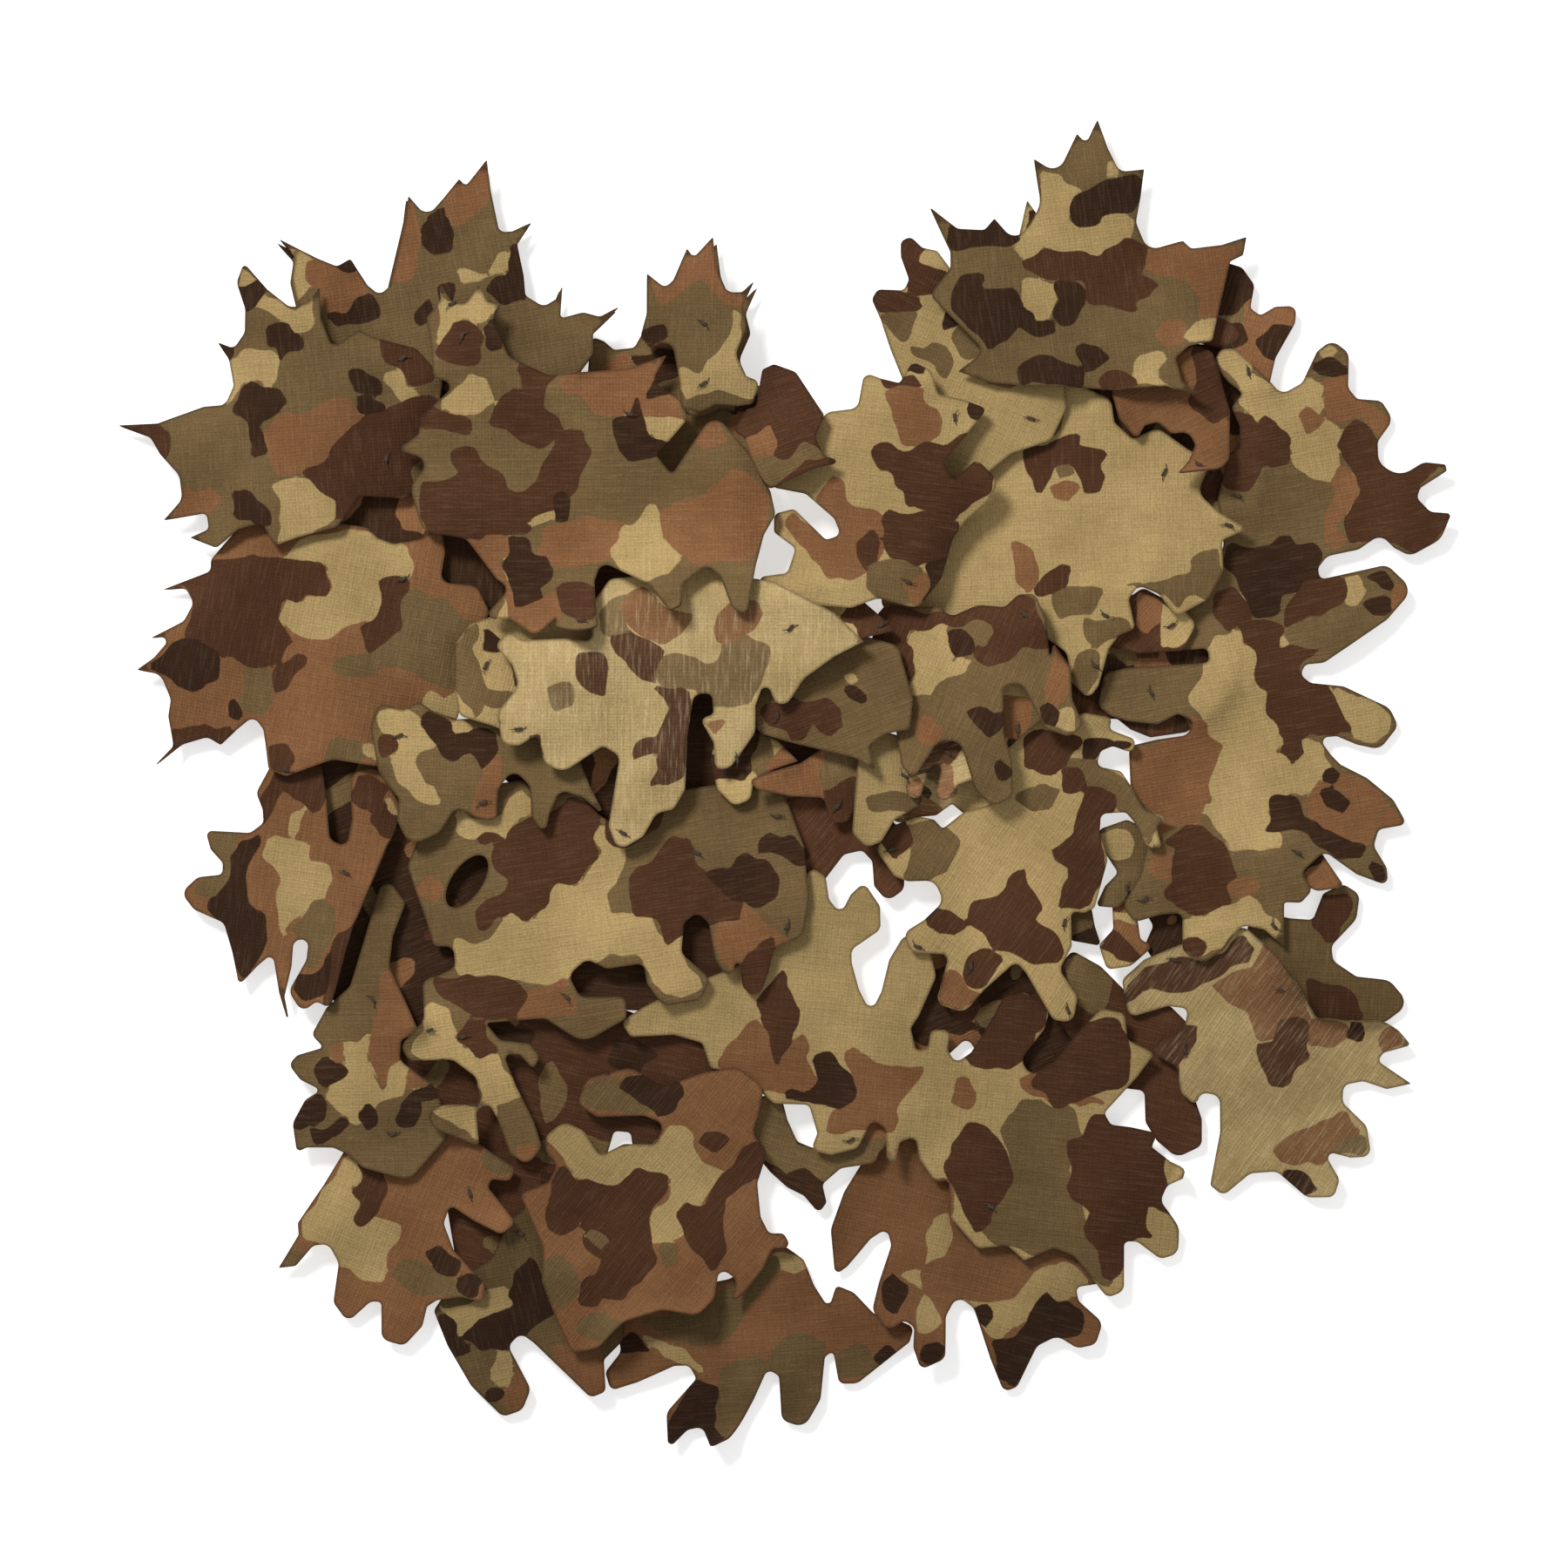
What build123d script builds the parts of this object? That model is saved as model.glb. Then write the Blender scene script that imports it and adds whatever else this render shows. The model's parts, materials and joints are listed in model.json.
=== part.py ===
from build123d import *
import os
from math import acos, hypot, sin, tan

# A leafy camouflage face mask, lying flat with its leaves up.
# It is many leaves of thin cloth, tacked one on another with thread knots, and a
# head band under them. X runs across the face, Y from the neck to the forehead and
# Z up from the table. Each leaf is a flat cut of cloth at its own height in the
# stack. All sizes are in mm.

cloth = 0.5            # thickness of the leaf cloth
pitch = 1.4            # height from one layer of leaves to the next
thread = 0.5           # radius of a tacking thread between two leaves
knot_long = 2.4        # a thread knot on the face of a leaf
knot_wide = 1.4
knot_high = 0.5

band_wide = 16.0       # flat elastic head band
band_thick = 0.8
band_reach = 97.0      # from the middle of the mask to each end of the band
band_y = 36.0
keeper_long = 10.0     # keeper that slides along the band
keeper_wall = 0.5
keeper_gap = 0.3

hole_x = -95.0         # oval eyelet torn in one of the left leaves
hole_y = -28.5
hole_long = 18.0
hole_wide = 9.0
hole_turn = 55.0

# Outlines of the leaves. Each corner is x, y and the radius that rounds it: near 0.2
# is the tip of a spike, and the larger radii are round lobes and hollows.
# The first number of each leaf is its layer, counted up from the table.
leaves = {
    "crown_right": (7, [
        (94, 200, 0.2), (97, 191, 3), (100.5, 184, 3), (108, 185, 0.2), (107, 177, 6),
        (105.5, 169, 4), (109, 160.5, 4), (119.5, 163.5, 0.25), (122, 161, 2), (131, 162, 4),
        (138.5, 164.5, 0.2), (137.5, 159, 0.25), (133.5, 157, 1.5), (128, 133, 2),
        (121, 131.5, 1.5), (117, 128, 1.5), (119, 121, 3), (124.5, 114.8, 0.2), (114, 119.3, 3),
        (104, 117.8, 4), (90, 119, 5), (72, 119.5, 5), (62, 120.5, 3), (52, 124, 0.2),
        (60, 130, 3), (43.5, 147, 2.5), (49.8, 155, 2), (49.8, 160, 3), (43.5, 173.7, 0.25),
        (52, 167, 3), (60, 166.5, 2), (63, 170, 0.25), (69.5, 162.5, 4), (77, 174, 8),
        (74.8, 188, 0.2), (82, 183.5, 4), (87.8, 195.5, 0.2), (90.5, 192.5, 1.5)]),
    "fan_tan": (5, [
        (60, 114, 4), (84, 122, 6), (98, 116, 4), (99, 109, 2), (104.5, 104, 1.5),
        (112, 107.5, 4), (121, 101, 4), (128, 97, 3), (124, 88, 4), (130, 82, 4),
        (138.7, 77, 0.2), (131, 73.5, 2), (131.5, 64, 3), (127, 56, 3), (117, 50.5, 2.5),
        (112, 57.5, 3), (106, 60, 2.5), (103, 56, 2), (105, 47, 2), (100, 45, 2), (97, 41, 2),
        (94, 30, 3), (91, 26, 2.5), (86, 31, 3), (84.5, 40, 4), (79, 44, 4), (40, 48, 4),
        (29, 54, 3), (31, 66, 5), (46, 74, 5), (50, 82, 5), (52, 98, 5)]),
    "oak_by_notch": (15, [
        (24, 124, 2.5), (29, 122, 2), (34.5, 120.5, 0.8), (38.5, 127, 2), (44, 124, 2),
        (46, 117, 2), (54, 115.3, 3), (60.8, 112.7, 1.5), (47.5, 96.5, 2), (50, 91, 1.5),
        (57.5, 97.5, 2), (64, 91, 3.5), (61, 85, 4), (54, 79, 4), (50.5, 74, 3), (47, 62, 4),
        (40, 53, 4), (28, 56, 4), (20, 53, 3), (8, 54, 3), (-8, 57, 3), (-7, 62.5, 2),
        (1, 63.5, 2), (3.5, 71, 2), (-3, 76, 1.5), (-3, 81.5, 2), (3, 83, 2), (12.5, 73.5, 1.5),
        (17, 75, 2), (15, 80, 3), (6.5, 87.5, 3), (-3.5, 89.5, 2), (-4, 98, 3), (8, 106, 4),
        (13, 112, 4), (22, 113, 3)]),
    "oak_behind_crown": (6, [
        (35, 163.5, 2), (38, 165, 2), (41.5, 161.6, 2), (46, 160.6, 2), (50, 155, 2),
        (62, 148, 5), (72, 138, 6), (84, 122, 4), (84.5, 113, 5), (80, 103.5, 4), (68, 99.5, 5),
        (57.5, 91, 4), (47, 93, 4), (45, 104, 4), (45, 113, 4), (36, 121, 4), (32, 131, 4),
        (29, 140, 4), (26.3, 146, 2), (28, 149, 2), (36, 148.7, 2), (37.5, 152, 2),
        (35, 159, 3)]),
    "oak_rust_right": (1, [
        (118, 150, 4), (130, 158, 3), (137.5, 155.8, 3), (141.3, 150.5, 3), (140, 143.5, 1.5),
        (143, 141.3, 1.5), (147.5, 144, 3), (154, 144.3, 3), (153.5, 139, 4), (147.5, 128.5, 3),
        (145, 118, 3), (137, 121, 3), (132, 131, 4), (120, 134, 4), (112, 138, 4)]),
    "oak_under_crown": (6, [
        (100, 128, 4), (117, 129, 3), (123, 132, 3), (128, 130, 3), (131, 121, 3),
        (133.5, 112, 3), (133.2, 98, 4), (129.5, 92.5, 1.5), (117.3, 92.3, 0.8), (121, 97.5, 2),
        (123, 102, 2), (121, 106, 3), (116, 105.5, 2), (112, 109, 2), (108, 108, 2),
        (105.5, 103.6, 1.5), (100, 110, 3), (98, 118, 3)]),
    "oak_right_long": (3, [
        (128.5, 126.5, 2), (130.5, 130.8, 2), (135, 131, 3), (145, 121.5, 4), (149, 117.3, 3.5),
        (155.5, 121, 4), (160, 130.5, 3), (164.5, 134, 4), (169.5, 130, 3.5), (169.3, 119.5, 3),
        (172, 116.3, 2), (179.5, 115.8, 3), (183, 110, 4), (178.3, 103.5, 3), (178.5, 97, 5),
        (185, 93, 6), (192, 97.3, 4), (198.5, 96.5, 0.8), (198.8, 94.5, 0.6), (191, 89.5, 2),
        (190, 86.5, 2), (194, 82.3, 3), (200.2, 81.8, 1), (197, 74, 6), (188, 69, 4),
        (183, 71.5, 3), (179, 75.5, 4), (172.5, 71, 4), (163, 69, 4), (160.3, 65.5, 2),
        (160.8, 62, 2), (181, 66.5, 4), (188.8, 59, 4.5), (181, 50, 5), (162, 37, 4),
        (156.5, 36.5, 2), (155, 33.5, 2), (158, 31, 3), (168, 30, 4), (182, 23.5, 5),
        (184.5, 18, 3), (179, 11, 4), (172, 12.5, 3), (166, 15, 3), (160.5, 14.5, 2),
        (164, 9.5, 2), (167, 6.5, 3), (175, 2.5, 6), (183, -4, 5), (187, -11.5, 1.5),
        (178.5, -13, 2), (177, -18, 3), (181, -24.5, 4), (181.5, -30, 2), (172, -26.5, 4),
        (162, -19.5, 3), (155, -26, 2), (158.5, -31, 2.5), (155, -35, 2), (150, -34.8, 0.8),
        (150, -48.2, 0.25), (144, -43, 3), (137, -41.5, 4), (131.5, -49, 3), (126, -52.8, 4),
        (119.3, -49.5, 3), (119.5, -38, 2), (113, -38.5, 2), (105, -40.8, 3), (101.3, -36, 3),
        (107, -26, 3), (110, -12, 3), (104, 0, 4), (103.5, 12, 2), (112, 14, 3), (121, 15.3, 3),
        (122.8, 19.5, 1.8), (118, 21.7, 1.5), (112, 18.5, 3), (103, 19.5, 2), (98, 21, 1),
        (94, 24, 3), (96, 34, 3), (103, 35.5, 3), (127.5, 37, 1.6), (127, 41.3, 1.6),
        (117, 40.5, 3), (108, 41, 3), (112, 52, 4), (126, 60, 6), (132, 72, 5), (130, 86, 5),
        (133.5, 100, 2), (136.8, 101.3, 1.2), (136.5, 108, 2), (134, 113.5, 2),
        (137.3, 117.5, 1.2), (133, 121, 2)]),
    "oak_lobe_right": (4, [
        (90, 60, 4), (104, 57, 2), (107.5, 59.5, 2.5), (114, 56, 3), (119, 54, 2),
        (123.4, 48.5, 3), (120, 40.6, 3), (106, 39.8, 3), (96, 42, 4), (88, 48, 4)]),
    "oak_brown_centre": (12, [
        (28, 51.5, 2), (31, 55, 2), (36, 53.5, 3), (46, 53.7, 3), (50, 50.7, 3), (58, 54.2, 4),
        (66, 53.5, 3), (70, 57.3, 3), (75, 57.5, 3), (78, 50, 5), (79.3, 38.8, 0.25),
        (81.5, 43, 0.8), (85.5, 35, 5), (86, 26, 4), (89.5, 18, 2.5), (85, 14.8, 3),
        (78, 17, 3), (71, 30.5, 3), (65.3, 30.3, 2.5), (65.5, 16, 3), (68, 8, 3), (68.5, -3, 3),
        (62.5, -6.3, 3.5), (57, -1, 4), (52.5, 13.5, 4), (46, 13.5, 4), (38.5, 2, 4),
        (35, 6, 3), (33, 20, 4), (24, 34, 4)]),
    "oak_centre_right": (6, [
        (27.5, -19, 3), (32, -12, 4), (40, -9, 4), (45, -10, 1.5), (47.5, -12.8, 1),
        (54, -7.7, 2), (64, -5, 4), (62, 8, 4), (68, 20, 4), (84, 20, 4), (90, 22, 3),
        (98, 20.5, 1.5), (97.5, 17, 1.5), (105.3, 14, 2), (104.5, 9.8, 2), (98.5, 12, 2),
        (95, 10.5, 2), (93.5, 6, 2), (101, 4.5, 2), (104, 0, 4), (108, -7, 3),
        (115.4, -9.5, 0.2), (111.5, -12, 2), (113, -18.3, 0.8), (109, -18.5, 2), (105, -11, 3),
        (102.5, -7.8, 2), (95, -8.3, 2), (94.5, -14, 3), (97, -22, 4), (93, -36.5, 2),
        (90, -38, 1.5), (86, -37.5, 1.5), (86.2, -48, 2), (82.5, -55, 3), (88, -63, 4),
        (86.5, -70.8, 3), (80.5, -70, 3), (72.5, -56, 2), (69.5, -52.5, 2), (60, -61, 5),
        (54, -68, 4), (45.5, -65, 3), (49, -52, 2), (48, -50.3, 1), (38, -49.7, 3),
        (35.5, -44, 3), (42, -40, 5), (47.8, -34.5, 3.5), (45, -28.3, 4), (37, -28.5, 3),
        (33, -27, 3)]),
    "streak_leaf": (16, [
        (23.7, 43, 0.25), (15, 51.5, 4), (-3, 60.8, 4), (-10, 62, 3), (-24, 66, 4),
        (-33, 63, 4), (-45, 62.7, 2), (-52, 62, 3), (-57.7, 54, 3), (-57, 43, 2), (-65, 44, 3),
        (-78, 43.5, 3), (-82, 46.3, 3), (-86.3, 42, 2.5), (-81, 36, 3), (-79, 30, 4),
        (-85.5, 22, 4), (-84, 12.5, 4), (-79, 12, 3), (-73.5, 15.5, 1.5), (-71.5, 7, 3),
        (-66, 4, 5), (-54, 12, 2), (-49, 9, 3), (-52.5, -12, 4), (-49.5, -19.5, 3),
        (-42, -15, 2), (-38, -8, 4), (-33, -7, 3), (-29.5, -1, 3), (-28.8, 15, 6),
        (-27, 27.5, 3), (-21.5, 27.7, 2), (-21, 21.5, 1.5), (-25, 20, 1.5), (-21, 13, 3),
        (-20.5, 4.8, 2.5), (-16, 5.5, 4), (-8.5, 16, 5), (-8.5, 24, 3), (-5.5, 32, 2),
        (-2.5, 24.5, 2.5), (1, 24.5, 3), (6, 32, 5), (15, 38.5, 6)]),
    "brown_spike": (14, [
        (20.5, 58, 2), (33.5, 46.5, 0.6), (22, 43.7, 3), (10, 38, 5), (-2, 34, 4), (-10, 40, 4),
        (-8, 54, 4), (4, 60, 4)]),
    "big_left": (17, [
        (-103, 150.8, 0.2), (-99, 144.3, 2.5), (-95, 143.8, 2.5), (-91, 149.5, 0.2),
        (-88.5, 144.5, 2), (-84.5, 143.5, 0.2), (-87, 139, 2), (-82, 128, 4), (-70, 122.5, 4),
        (-46, 125, 4), (-35, 129, 0.2), (-39.5, 121, 3), (-31, 115.5, 3), (-28.5, 110, 2.5),
        (-34, 103.5, 3), (-38.3, 99, 1), (-33.5, 93, 1.2), (-21, 112, 4), (-9, 98, 3),
        (-4, 88, 3), (-2.5, 81, 3), (-6, 75, 3), (-8.3, 66, 3), (-11, 50.7, 2.5),
        (-15.5, 53, 3), (-19, 62.5, 2), (-23, 66, 3), (-30.3, 60, 2), (-30.3, 52, 1),
        (-33.5, 51.3, 1), (-40, 60, 3), (-54.5, 67, 3), (-56.5, 61, 2.5), (-55.3, 47, 2),
        (-59.5, 43.3, 2.5), (-68.5, 47.5, 1.5), (-67, 51, 3), (-74, 44.7, 3), (-82, 50, 3),
        (-90, 49.5, 2), (-82, 59, 3), (-86, 62, 2), (-95, 74, 5), (-108, 76, 5), (-112, 90, 6),
        (-105, 97, 3), (-115.5, 100.5, 1), (-109, 105, 1.5), (-108.5, 110, 1.5),
        (-98, 119.5, 2), (-104.5, 122, 2), (-105.3, 132, 3), (-106.8, 140, 1.5),
        (-102.5, 145, 2)]),
    "crown_left": (2, [
        (-89, 187.7, 0.2), (-88, 179, 6), (-85.3, 166, 3), (-81.5, 166.3, 2),
        (-75.5, 169.2, 0.2), (-80, 162.5, 2), (-78, 153, 5), (-77.5, 147, 2), (-72, 143.6, 3),
        (-68, 146, 2), (-66.3, 150.6, 0.2), (-67, 140, 1), (-60, 141.7, 3), (-55, 140.3, 2),
        (-48.6, 143.7, 0.2), (-57, 135.5, 2.5), (-57, 129, 2), (-61, 124, 3), (-68, 119, 4),
        (-82, 118, 5), (-98, 124, 6), (-112, 124, 6), (-126, 128, 5), (-138, 134, 4),
        (-145, 142, 3), (-147.5, 152, 4), (-146.5, 158.5, 2), (-152, 164.4, 0.2),
        (-140, 158.3, 3), (-134, 155.8, 2), (-130, 158.2, 0.8), (-125, 150.3, 3),
        (-121.3, 147.3, 2.5), (-118.3, 150, 3), (-113.5, 170, 6), (-112.6, 177, 0.2),
        (-107, 170.5, 3.5), (-102, 176, 3), (-97.3, 181.8, 0.25), (-95.3, 179.8, 1)]),
    "far_left": (9, [
        (-162, 157, 1), (-155, 149, 4), (-147.5, 143, 4), (-142, 144.5, 3),
        (-138.8, 149.4, 0.2), (-138.5, 140, 3), (-135, 131, 2), (-127.2, 136.4, 0.2),
        (-122, 134, 3), (-110, 131, 4), (-102, 122, 4), (-104, 110, 4), (-109, 100, 5),
        (-106, 93, 4), (-114, 86.3, 3), (-127.3, 87, 1.5), (-133.5, 77.5, 3), (-145, 74.5, 5),
        (-152.5, 71.8, 2), (-156, 78.7, 2), (-163, 77, 3), (-170, 71.3, 2), (-178.2, 74.5, 0.2),
        (-172.3, 77, 1.5), (-173, 81.8, 1.5), (-186.2, 79.6, 0.2), (-180.3, 86, 4),
        (-181, 93, 5), (-187, 99.5, 2), (-190, 104.5, 3), (-200.4, 108.3, 0.2),
        (-188, 108.8, 3), (-174, 113.8, 4), (-167.5, 114.3, 3), (-165, 120, 3),
        (-166.5, 128, 3), (-170, 133.2, 0.2), (-165, 131.3, 2), (-161.6, 136, 4),
        (-161.5, 143, 5), (-164.2, 151, 4)]),
    "maple_top": (18, [
        (-41, 153.2, 0.2), (-35.5, 148.7, 4), (-33, 151, 3), (-29, 160.7, 0.25),
        (-27, 157.8, 1.2), (-21.2, 164.2, 0.2), (-20, 154, 8), (-17, 147.3, 3),
        (-12.5, 147.6, 2), (-8.7, 151.4, 0.2), (-12.5, 143, 3), (-11, 137, 3), (-14.5, 129, 4),
        (-11.5, 122.5, 2), (-7.3, 121, 2), (-9.3, 114.2, 2), (-14, 113.5, 2),
        (-20.4, 114, 0.25), (-25, 111.7, 3), (-30.7, 112.7, 1.5), (-31, 120, 4),
        (-33.3, 132, 3), (-43.3, 133, 2), (-41, 141, 6)]),
    "dark_curl": (19, [
        (-6.5, 124.3, 1.5), (-3, 126, 2), (3.5, 123.7, 3), (12, 110.7, 1.2), (9.3, 104, 2.5),
        (12, 98.5, 2), (17.7, 96.7, 1), (9, 94.7, 2.5), (-5, 88, 2.5), (-9.7, 97, 4),
        (-12, 104, 2), (-15.2, 106, 1.5), (-11.2, 112.3, 1.5), (-8.3, 113, 1.5)]),
    "left_middle": (8, [
        (-172, 68, 3), (-172, 64.5, 2), (-187.2, 58.8, 0.2), (-179.5, 59.3, 2), (-177, 55, 3),
        (-180, 49.5, 3), (-190.5, 44.2, 0.2), (-183.5, 45, 1.5), (-189, 38.5, 3),
        (-194.2, 34.8, 0.25), (-187, 33.5, 4), (-184, 26, 4), (-184.8, 21, 3), (-183.2, 12, 2),
        (-190.2, 4.5, 0.2), (-180.5, 12.5, 4), (-173, 14.7, 3), (-169, 12.3, 0.8),
        (-164, 17, 3), (-159, 21, 3), (-156, 17, 3), (-154.2, 5, 1.5), (-149, 3, 2),
        (-135, 8, 6), (-122, 6, 4), (-110, 8, 5), (-98, 20, 5), (-94, 34, 6), (-92, 46, 4),
        (-88, 52, 3), (-92, 60, 4), (-103, 61, 3), (-101.5, 70, 4), (-102.6, 78, 0.2),
        (-109, 74, 4), (-117, 72.5, 4), (-122, 74.5, 2), (-125, 77.5, 2), (-134, 79, 3),
        (-150, 80, 4), (-162, 79.5, 3)]),
    "left_low": (7, [
        (-154, 6, 3), (-143, 8.5, 4), (-138.5, 6, 2), (-137, -5, 6), (-136, -16, 3),
        (-131, -18.3, 2.5), (-129.3, -10, 4), (-130, 4, 4), (-122, 6, 4), (-117.5, -1, 4),
        (-114.3, -7, 4), (-117.5, -16, 4), (-122, -27, 6), (-129, -42, 8), (-135.5, -66.5, 2),
        (-140, -64.5, 2), (-144.5, -67.8, 3), (-148.5, -61.5, 3.5), (-143, -52, 4),
        (-142.3, -46, 2), (-147, -46, 2.5), (-147.6, -54, 4), (-149.7, -63, 1.5),
        (-147.6, -74.4, 0.3), (-151.3, -62, 2), (-153.3, -50, 1.5), (-158, -54, 4),
        (-163.5, -59.8, 1), (-165.5, -50, 6), (-168, -41, 3), (-177, -37, 4), (-181, -32, 3),
        (-176, -27.3, 4), (-168.5, -26.5, 1.5), (-168.3, -23, 1.5), (-172, -19, 3),
        (-173.5, -13.3, 1.5), (-160, -14, 3), (-156, -11, 2), (-156.3, -7, 2),
        (-158.3, -2, 3)]),
    "left_inner": (9, [
        (-123.7, 18, 4), (-121, 25.3, 3), (-114, 22.5, 3), (-109, 25.3, 2), (-105, 22.5, 2),
        (-98, 20, 3), (-88, 20.5, 2), (-70, 18, 6), (-62, 10, 4), (-58, 0, 3),
        (-53.3, -9.3, 0.6), (-60, -3.5, 3), (-67, -1, 3), (-70, -8, 3), (-71.5, -15, 2),
        (-75.5, -9, 3), (-76, 0, 3), (-81, 5.3, 3.5), (-85.5, -1, 3), (-86, -10.5, 2),
        (-92, -9.5, 4), (-98, -6, 3), (-103, -14, 5), (-112, -18, 5), (-115.8, -10, 4),
        (-115, -4, 3), (-121, 4, 3)]),
    "left_centre": (7, [
        (-113, -24, 4), (-108, -12, 5), (-98, -2, 4), (-84, 1, 3), (-78, 2, 3), (-74, -4, 3),
        (-62, -1, 4), (-55.5, -8.5, 3), (-50, -12, 4), (-38, -6, 3), (-30, -1, 4), (-16, 1, 4),
        (0, -2, 4), (6, -18, 4), (7.5, -34, 4), (5.5, -45, 4), (-3, -48.3, 3), (-4.7, -56, 4),
        (-8, -64.3, 2.5), (-12.5, -60, 3), (-13.3, -49, 2.5), (-16, -58.5, 2), (-20.5, -52, 4),
        (-22.5, -41, 3), (-26, -37.7, 2.5), (-30, -41, 2.5), (-30.7, -50, 3), (-22, -57.5, 3),
        (-25, -64, 3), (-36, -65.7, 4), (-41, -59, 3), (-42, -53, 2), (-53, -54.7, 3),
        (-59, -51.7, 3), (-64.5, -56.5, 3), (-61, -63, 3), (-47.5, -63, 2), (-47, -69.3, 2),
        (-60, -77, 7), (-71.5, -69.5, 4), (-89.3, -70.8, 0.6), (-85, -76, 3), (-76, -77, 2),
        (-73, -81, 2), (-75, -84.6, 1), (-79, -80.3, 2), (-84, -80, 2), (-80, -90, 4),
        (-75, -100, 5), (-72.3, -108, 3), (-77, -113.5, 3), (-82, -110, 3), (-86, -99, 3),
        (-88.5, -94.6, 2), (-92, -97, 2), (-91, -107.8, 1), (-104, -102.3, 3), (-106.8, -98, 3),
        (-102, -95, 3), (-90.5, -95, 2), (-92, -87, 4), (-99, -81.7, 4), (-112, -82, 3),
        (-114.5, -77.5, 3), (-107.5, -70, 4), (-108.3, -58, 3), (-103, -56.5, 2),
        (-98.4, -54, 2.5), (-99, -48, 2.5), (-105, -48, 2), (-107, -41, 3)]),
    "left_column": (6, [
        (-113.5, -35, 2), (-117.3, -45, 4), (-118.3, -54, 5), (-109, -73, 1.5),
        (-114.5, -76, 2), (-115, -82, 3), (-104, -90, 5), (-100, -104, 5), (-112, -118, 5),
        (-126, -114, 4), (-131, -110, 2), (-135, -108.3, 3), (-143, -108.3, 2),
        (-146, -109.8, 1.2), (-147.3, -101, 4), (-143.5, -94, 3), (-138.7, -91, 1),
        (-145, -88, 2), (-148.6, -83.5, 2.5), (-146, -80.7, 2), (-138, -78.3, 0.8),
        (-141.6, -74.5, 2), (-137, -66.3, 3), (-130, -60, 4), (-120, -26, 4)]),
    "low_left": (5, [
        (-131, -108, 2), (-138, -119.5, 4), (-145.8, -131, 1), (-145.5, -134.5, 1),
        (-151.8, -144.7, 0.2), (-146.5, -144, 2), (-141, -137.6, 3), (-136.5, -137.2, 3),
        (-133.5, -143, 4), (-135.3, -155, 3), (-131, -161, 2.5), (-124, -154.6, 3),
        (-120.8, -154.8, 1.2), (-120.8, -166, 3), (-114, -168, 3), (-108.5, -162, 3),
        (-107, -156, 1.5), (-104, -154, 1.5), (-97, -153, 3), (-90, -154.5, 1.5),
        (-89.5, -149, 2), (-99, -139, 3), (-102, -131, 3), (-100, -125.5, 1.5), (-93, -130, 3),
        (-84.5, -134, 2.5), (-80, -130.5, 2), (-88.7, -120, 1.5), (-87.5, -117.7, 1),
        (-82, -118.3, 2), (-80.3, -114.5, 2), (-91, -107.3, 3), (-104, -102, 4), (-112, -90, 5),
        (-126, -92, 5)]),
    "low_centre_left": (6, [
        (-71.2, -104.5, 3), (-66, -100.3, 4), (-60, -103, 3), (-55, -110.7, 2),
        (-48, -107.2, 3), (-38, -107.3, 2.5), (-36.2, -101, 2.5), (-42, -98.7, 3),
        (-56, -99, 3), (-62, -95, 3), (-59, -87.3, 4), (-46, -84.2, 5), (-36, -90, 3),
        (-24, -85.7, 4), (-14, -84, 5), (-6, -90, 4), (-7.5, -98, 3), (-9.5, -104, 4),
        (-5, -109.5, 3), (-8, -119, 4), (-7, -129, 4), (-4.5, -134, 2), (0, -134, 2),
        (2.3, -138.5, 1.5), (-3.5, -138.5, 2), (-6.5, -145, 3), (-12, -152, 4),
        (-16.3, -155.5, 0.8), (-14, -148, 3), (-19.5, -144, 2.5), (-20.7, -154, 4),
        (-25.5, -160.5, 3), (-36, -157, 6), (-47, -161, 6), (-55, -168.3, 3),
        (-63.5, -169.5, 2), (-68, -160, 4), (-72.5, -148, 5), (-72, -138, 5), (-79, -122, 1.5),
        (-70.5, -118.5, 2), (-68, -113.5, 2.5), (-71.5, -109, 1.5)]),
    "low_left_tail": (4, [
        (-105.2, -157.5, 2), (-99, -148, 4), (-88, -142, 5), (-82, -130, 4), (-72, -122, 4),
        (-58, -138, 6), (-48, -152, 5), (-48, -166, 4), (-54, -172, 2), (-53.4, -181.5, 2),
        (-58, -183.4, 2.5), (-75, -167, 3), (-79, -164, 2.5), (-82.7, -168, 2.5),
        (-76, -181, 4), (-78.5, -187.3, 4), (-84.5, -189.5, 3), (-94, -180, 5),
        (-101, -168, 4)]),
    "bottom_centre": (0, [
        (-6, -139.5, 3), (0, -138, 3), (6, -142.3, 3), (9, -150, 4), (13.5, -157, 1.2),
        (15.7, -150, 1.2), (21, -152.2, 4), (27, -158.5, 3), (34, -160.3, 3), (39, -162.5, 2),
        (37.7, -167, 2), (22, -179.5, 4), (16.5, -179.5, 2), (14.8, -169.7, 1),
        (12.3, -171.5, 1.5), (11, -184, 5), (6, -192.7, 4), (-0.7, -190.5, 3), (-1.5, -177, 2),
        (-5, -175, 2), (-9, -184, 5), (-16, -197.5, 3), (-21, -200.5, 1.5),
        (-24.5, -192.5, 2.5), (-29, -193.3, 3), (-34.8, -199, 1.2), (-35.3, -188, 4),
        (-26.3, -178, 1.5), (-28.5, -174, 2.5), (-33, -174, 3), (-44, -179, 4),
        (-52, -181.5, 2), (-53.7, -176, 2), (-49, -170, 3), (-50, -163, 4), (-65, -161, 4),
        (-65, -149, 4), (-30, -151, 5), (-16, -148, 4)]),
    "bottom_right": (1, [
        (24.5, -111.5, 3), (18, -122, 5), (14, -133, 6), (15.3, -147, 2), (19, -144.3, 3),
        (26, -136, 3), (31, -132.7, 2), (32.2, -138, 3), (28.5, -149, 4), (26.5, -157, 3),
        (31, -163.5, 3), (36, -160, 2), (39, -162, 2), (38.7, -168, 3), (41, -175, 2),
        (48.3, -171.5, 3), (48.5, -159, 4), (52, -153, 3), (57, -156.7, 4), (62, -172, 6),
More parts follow.
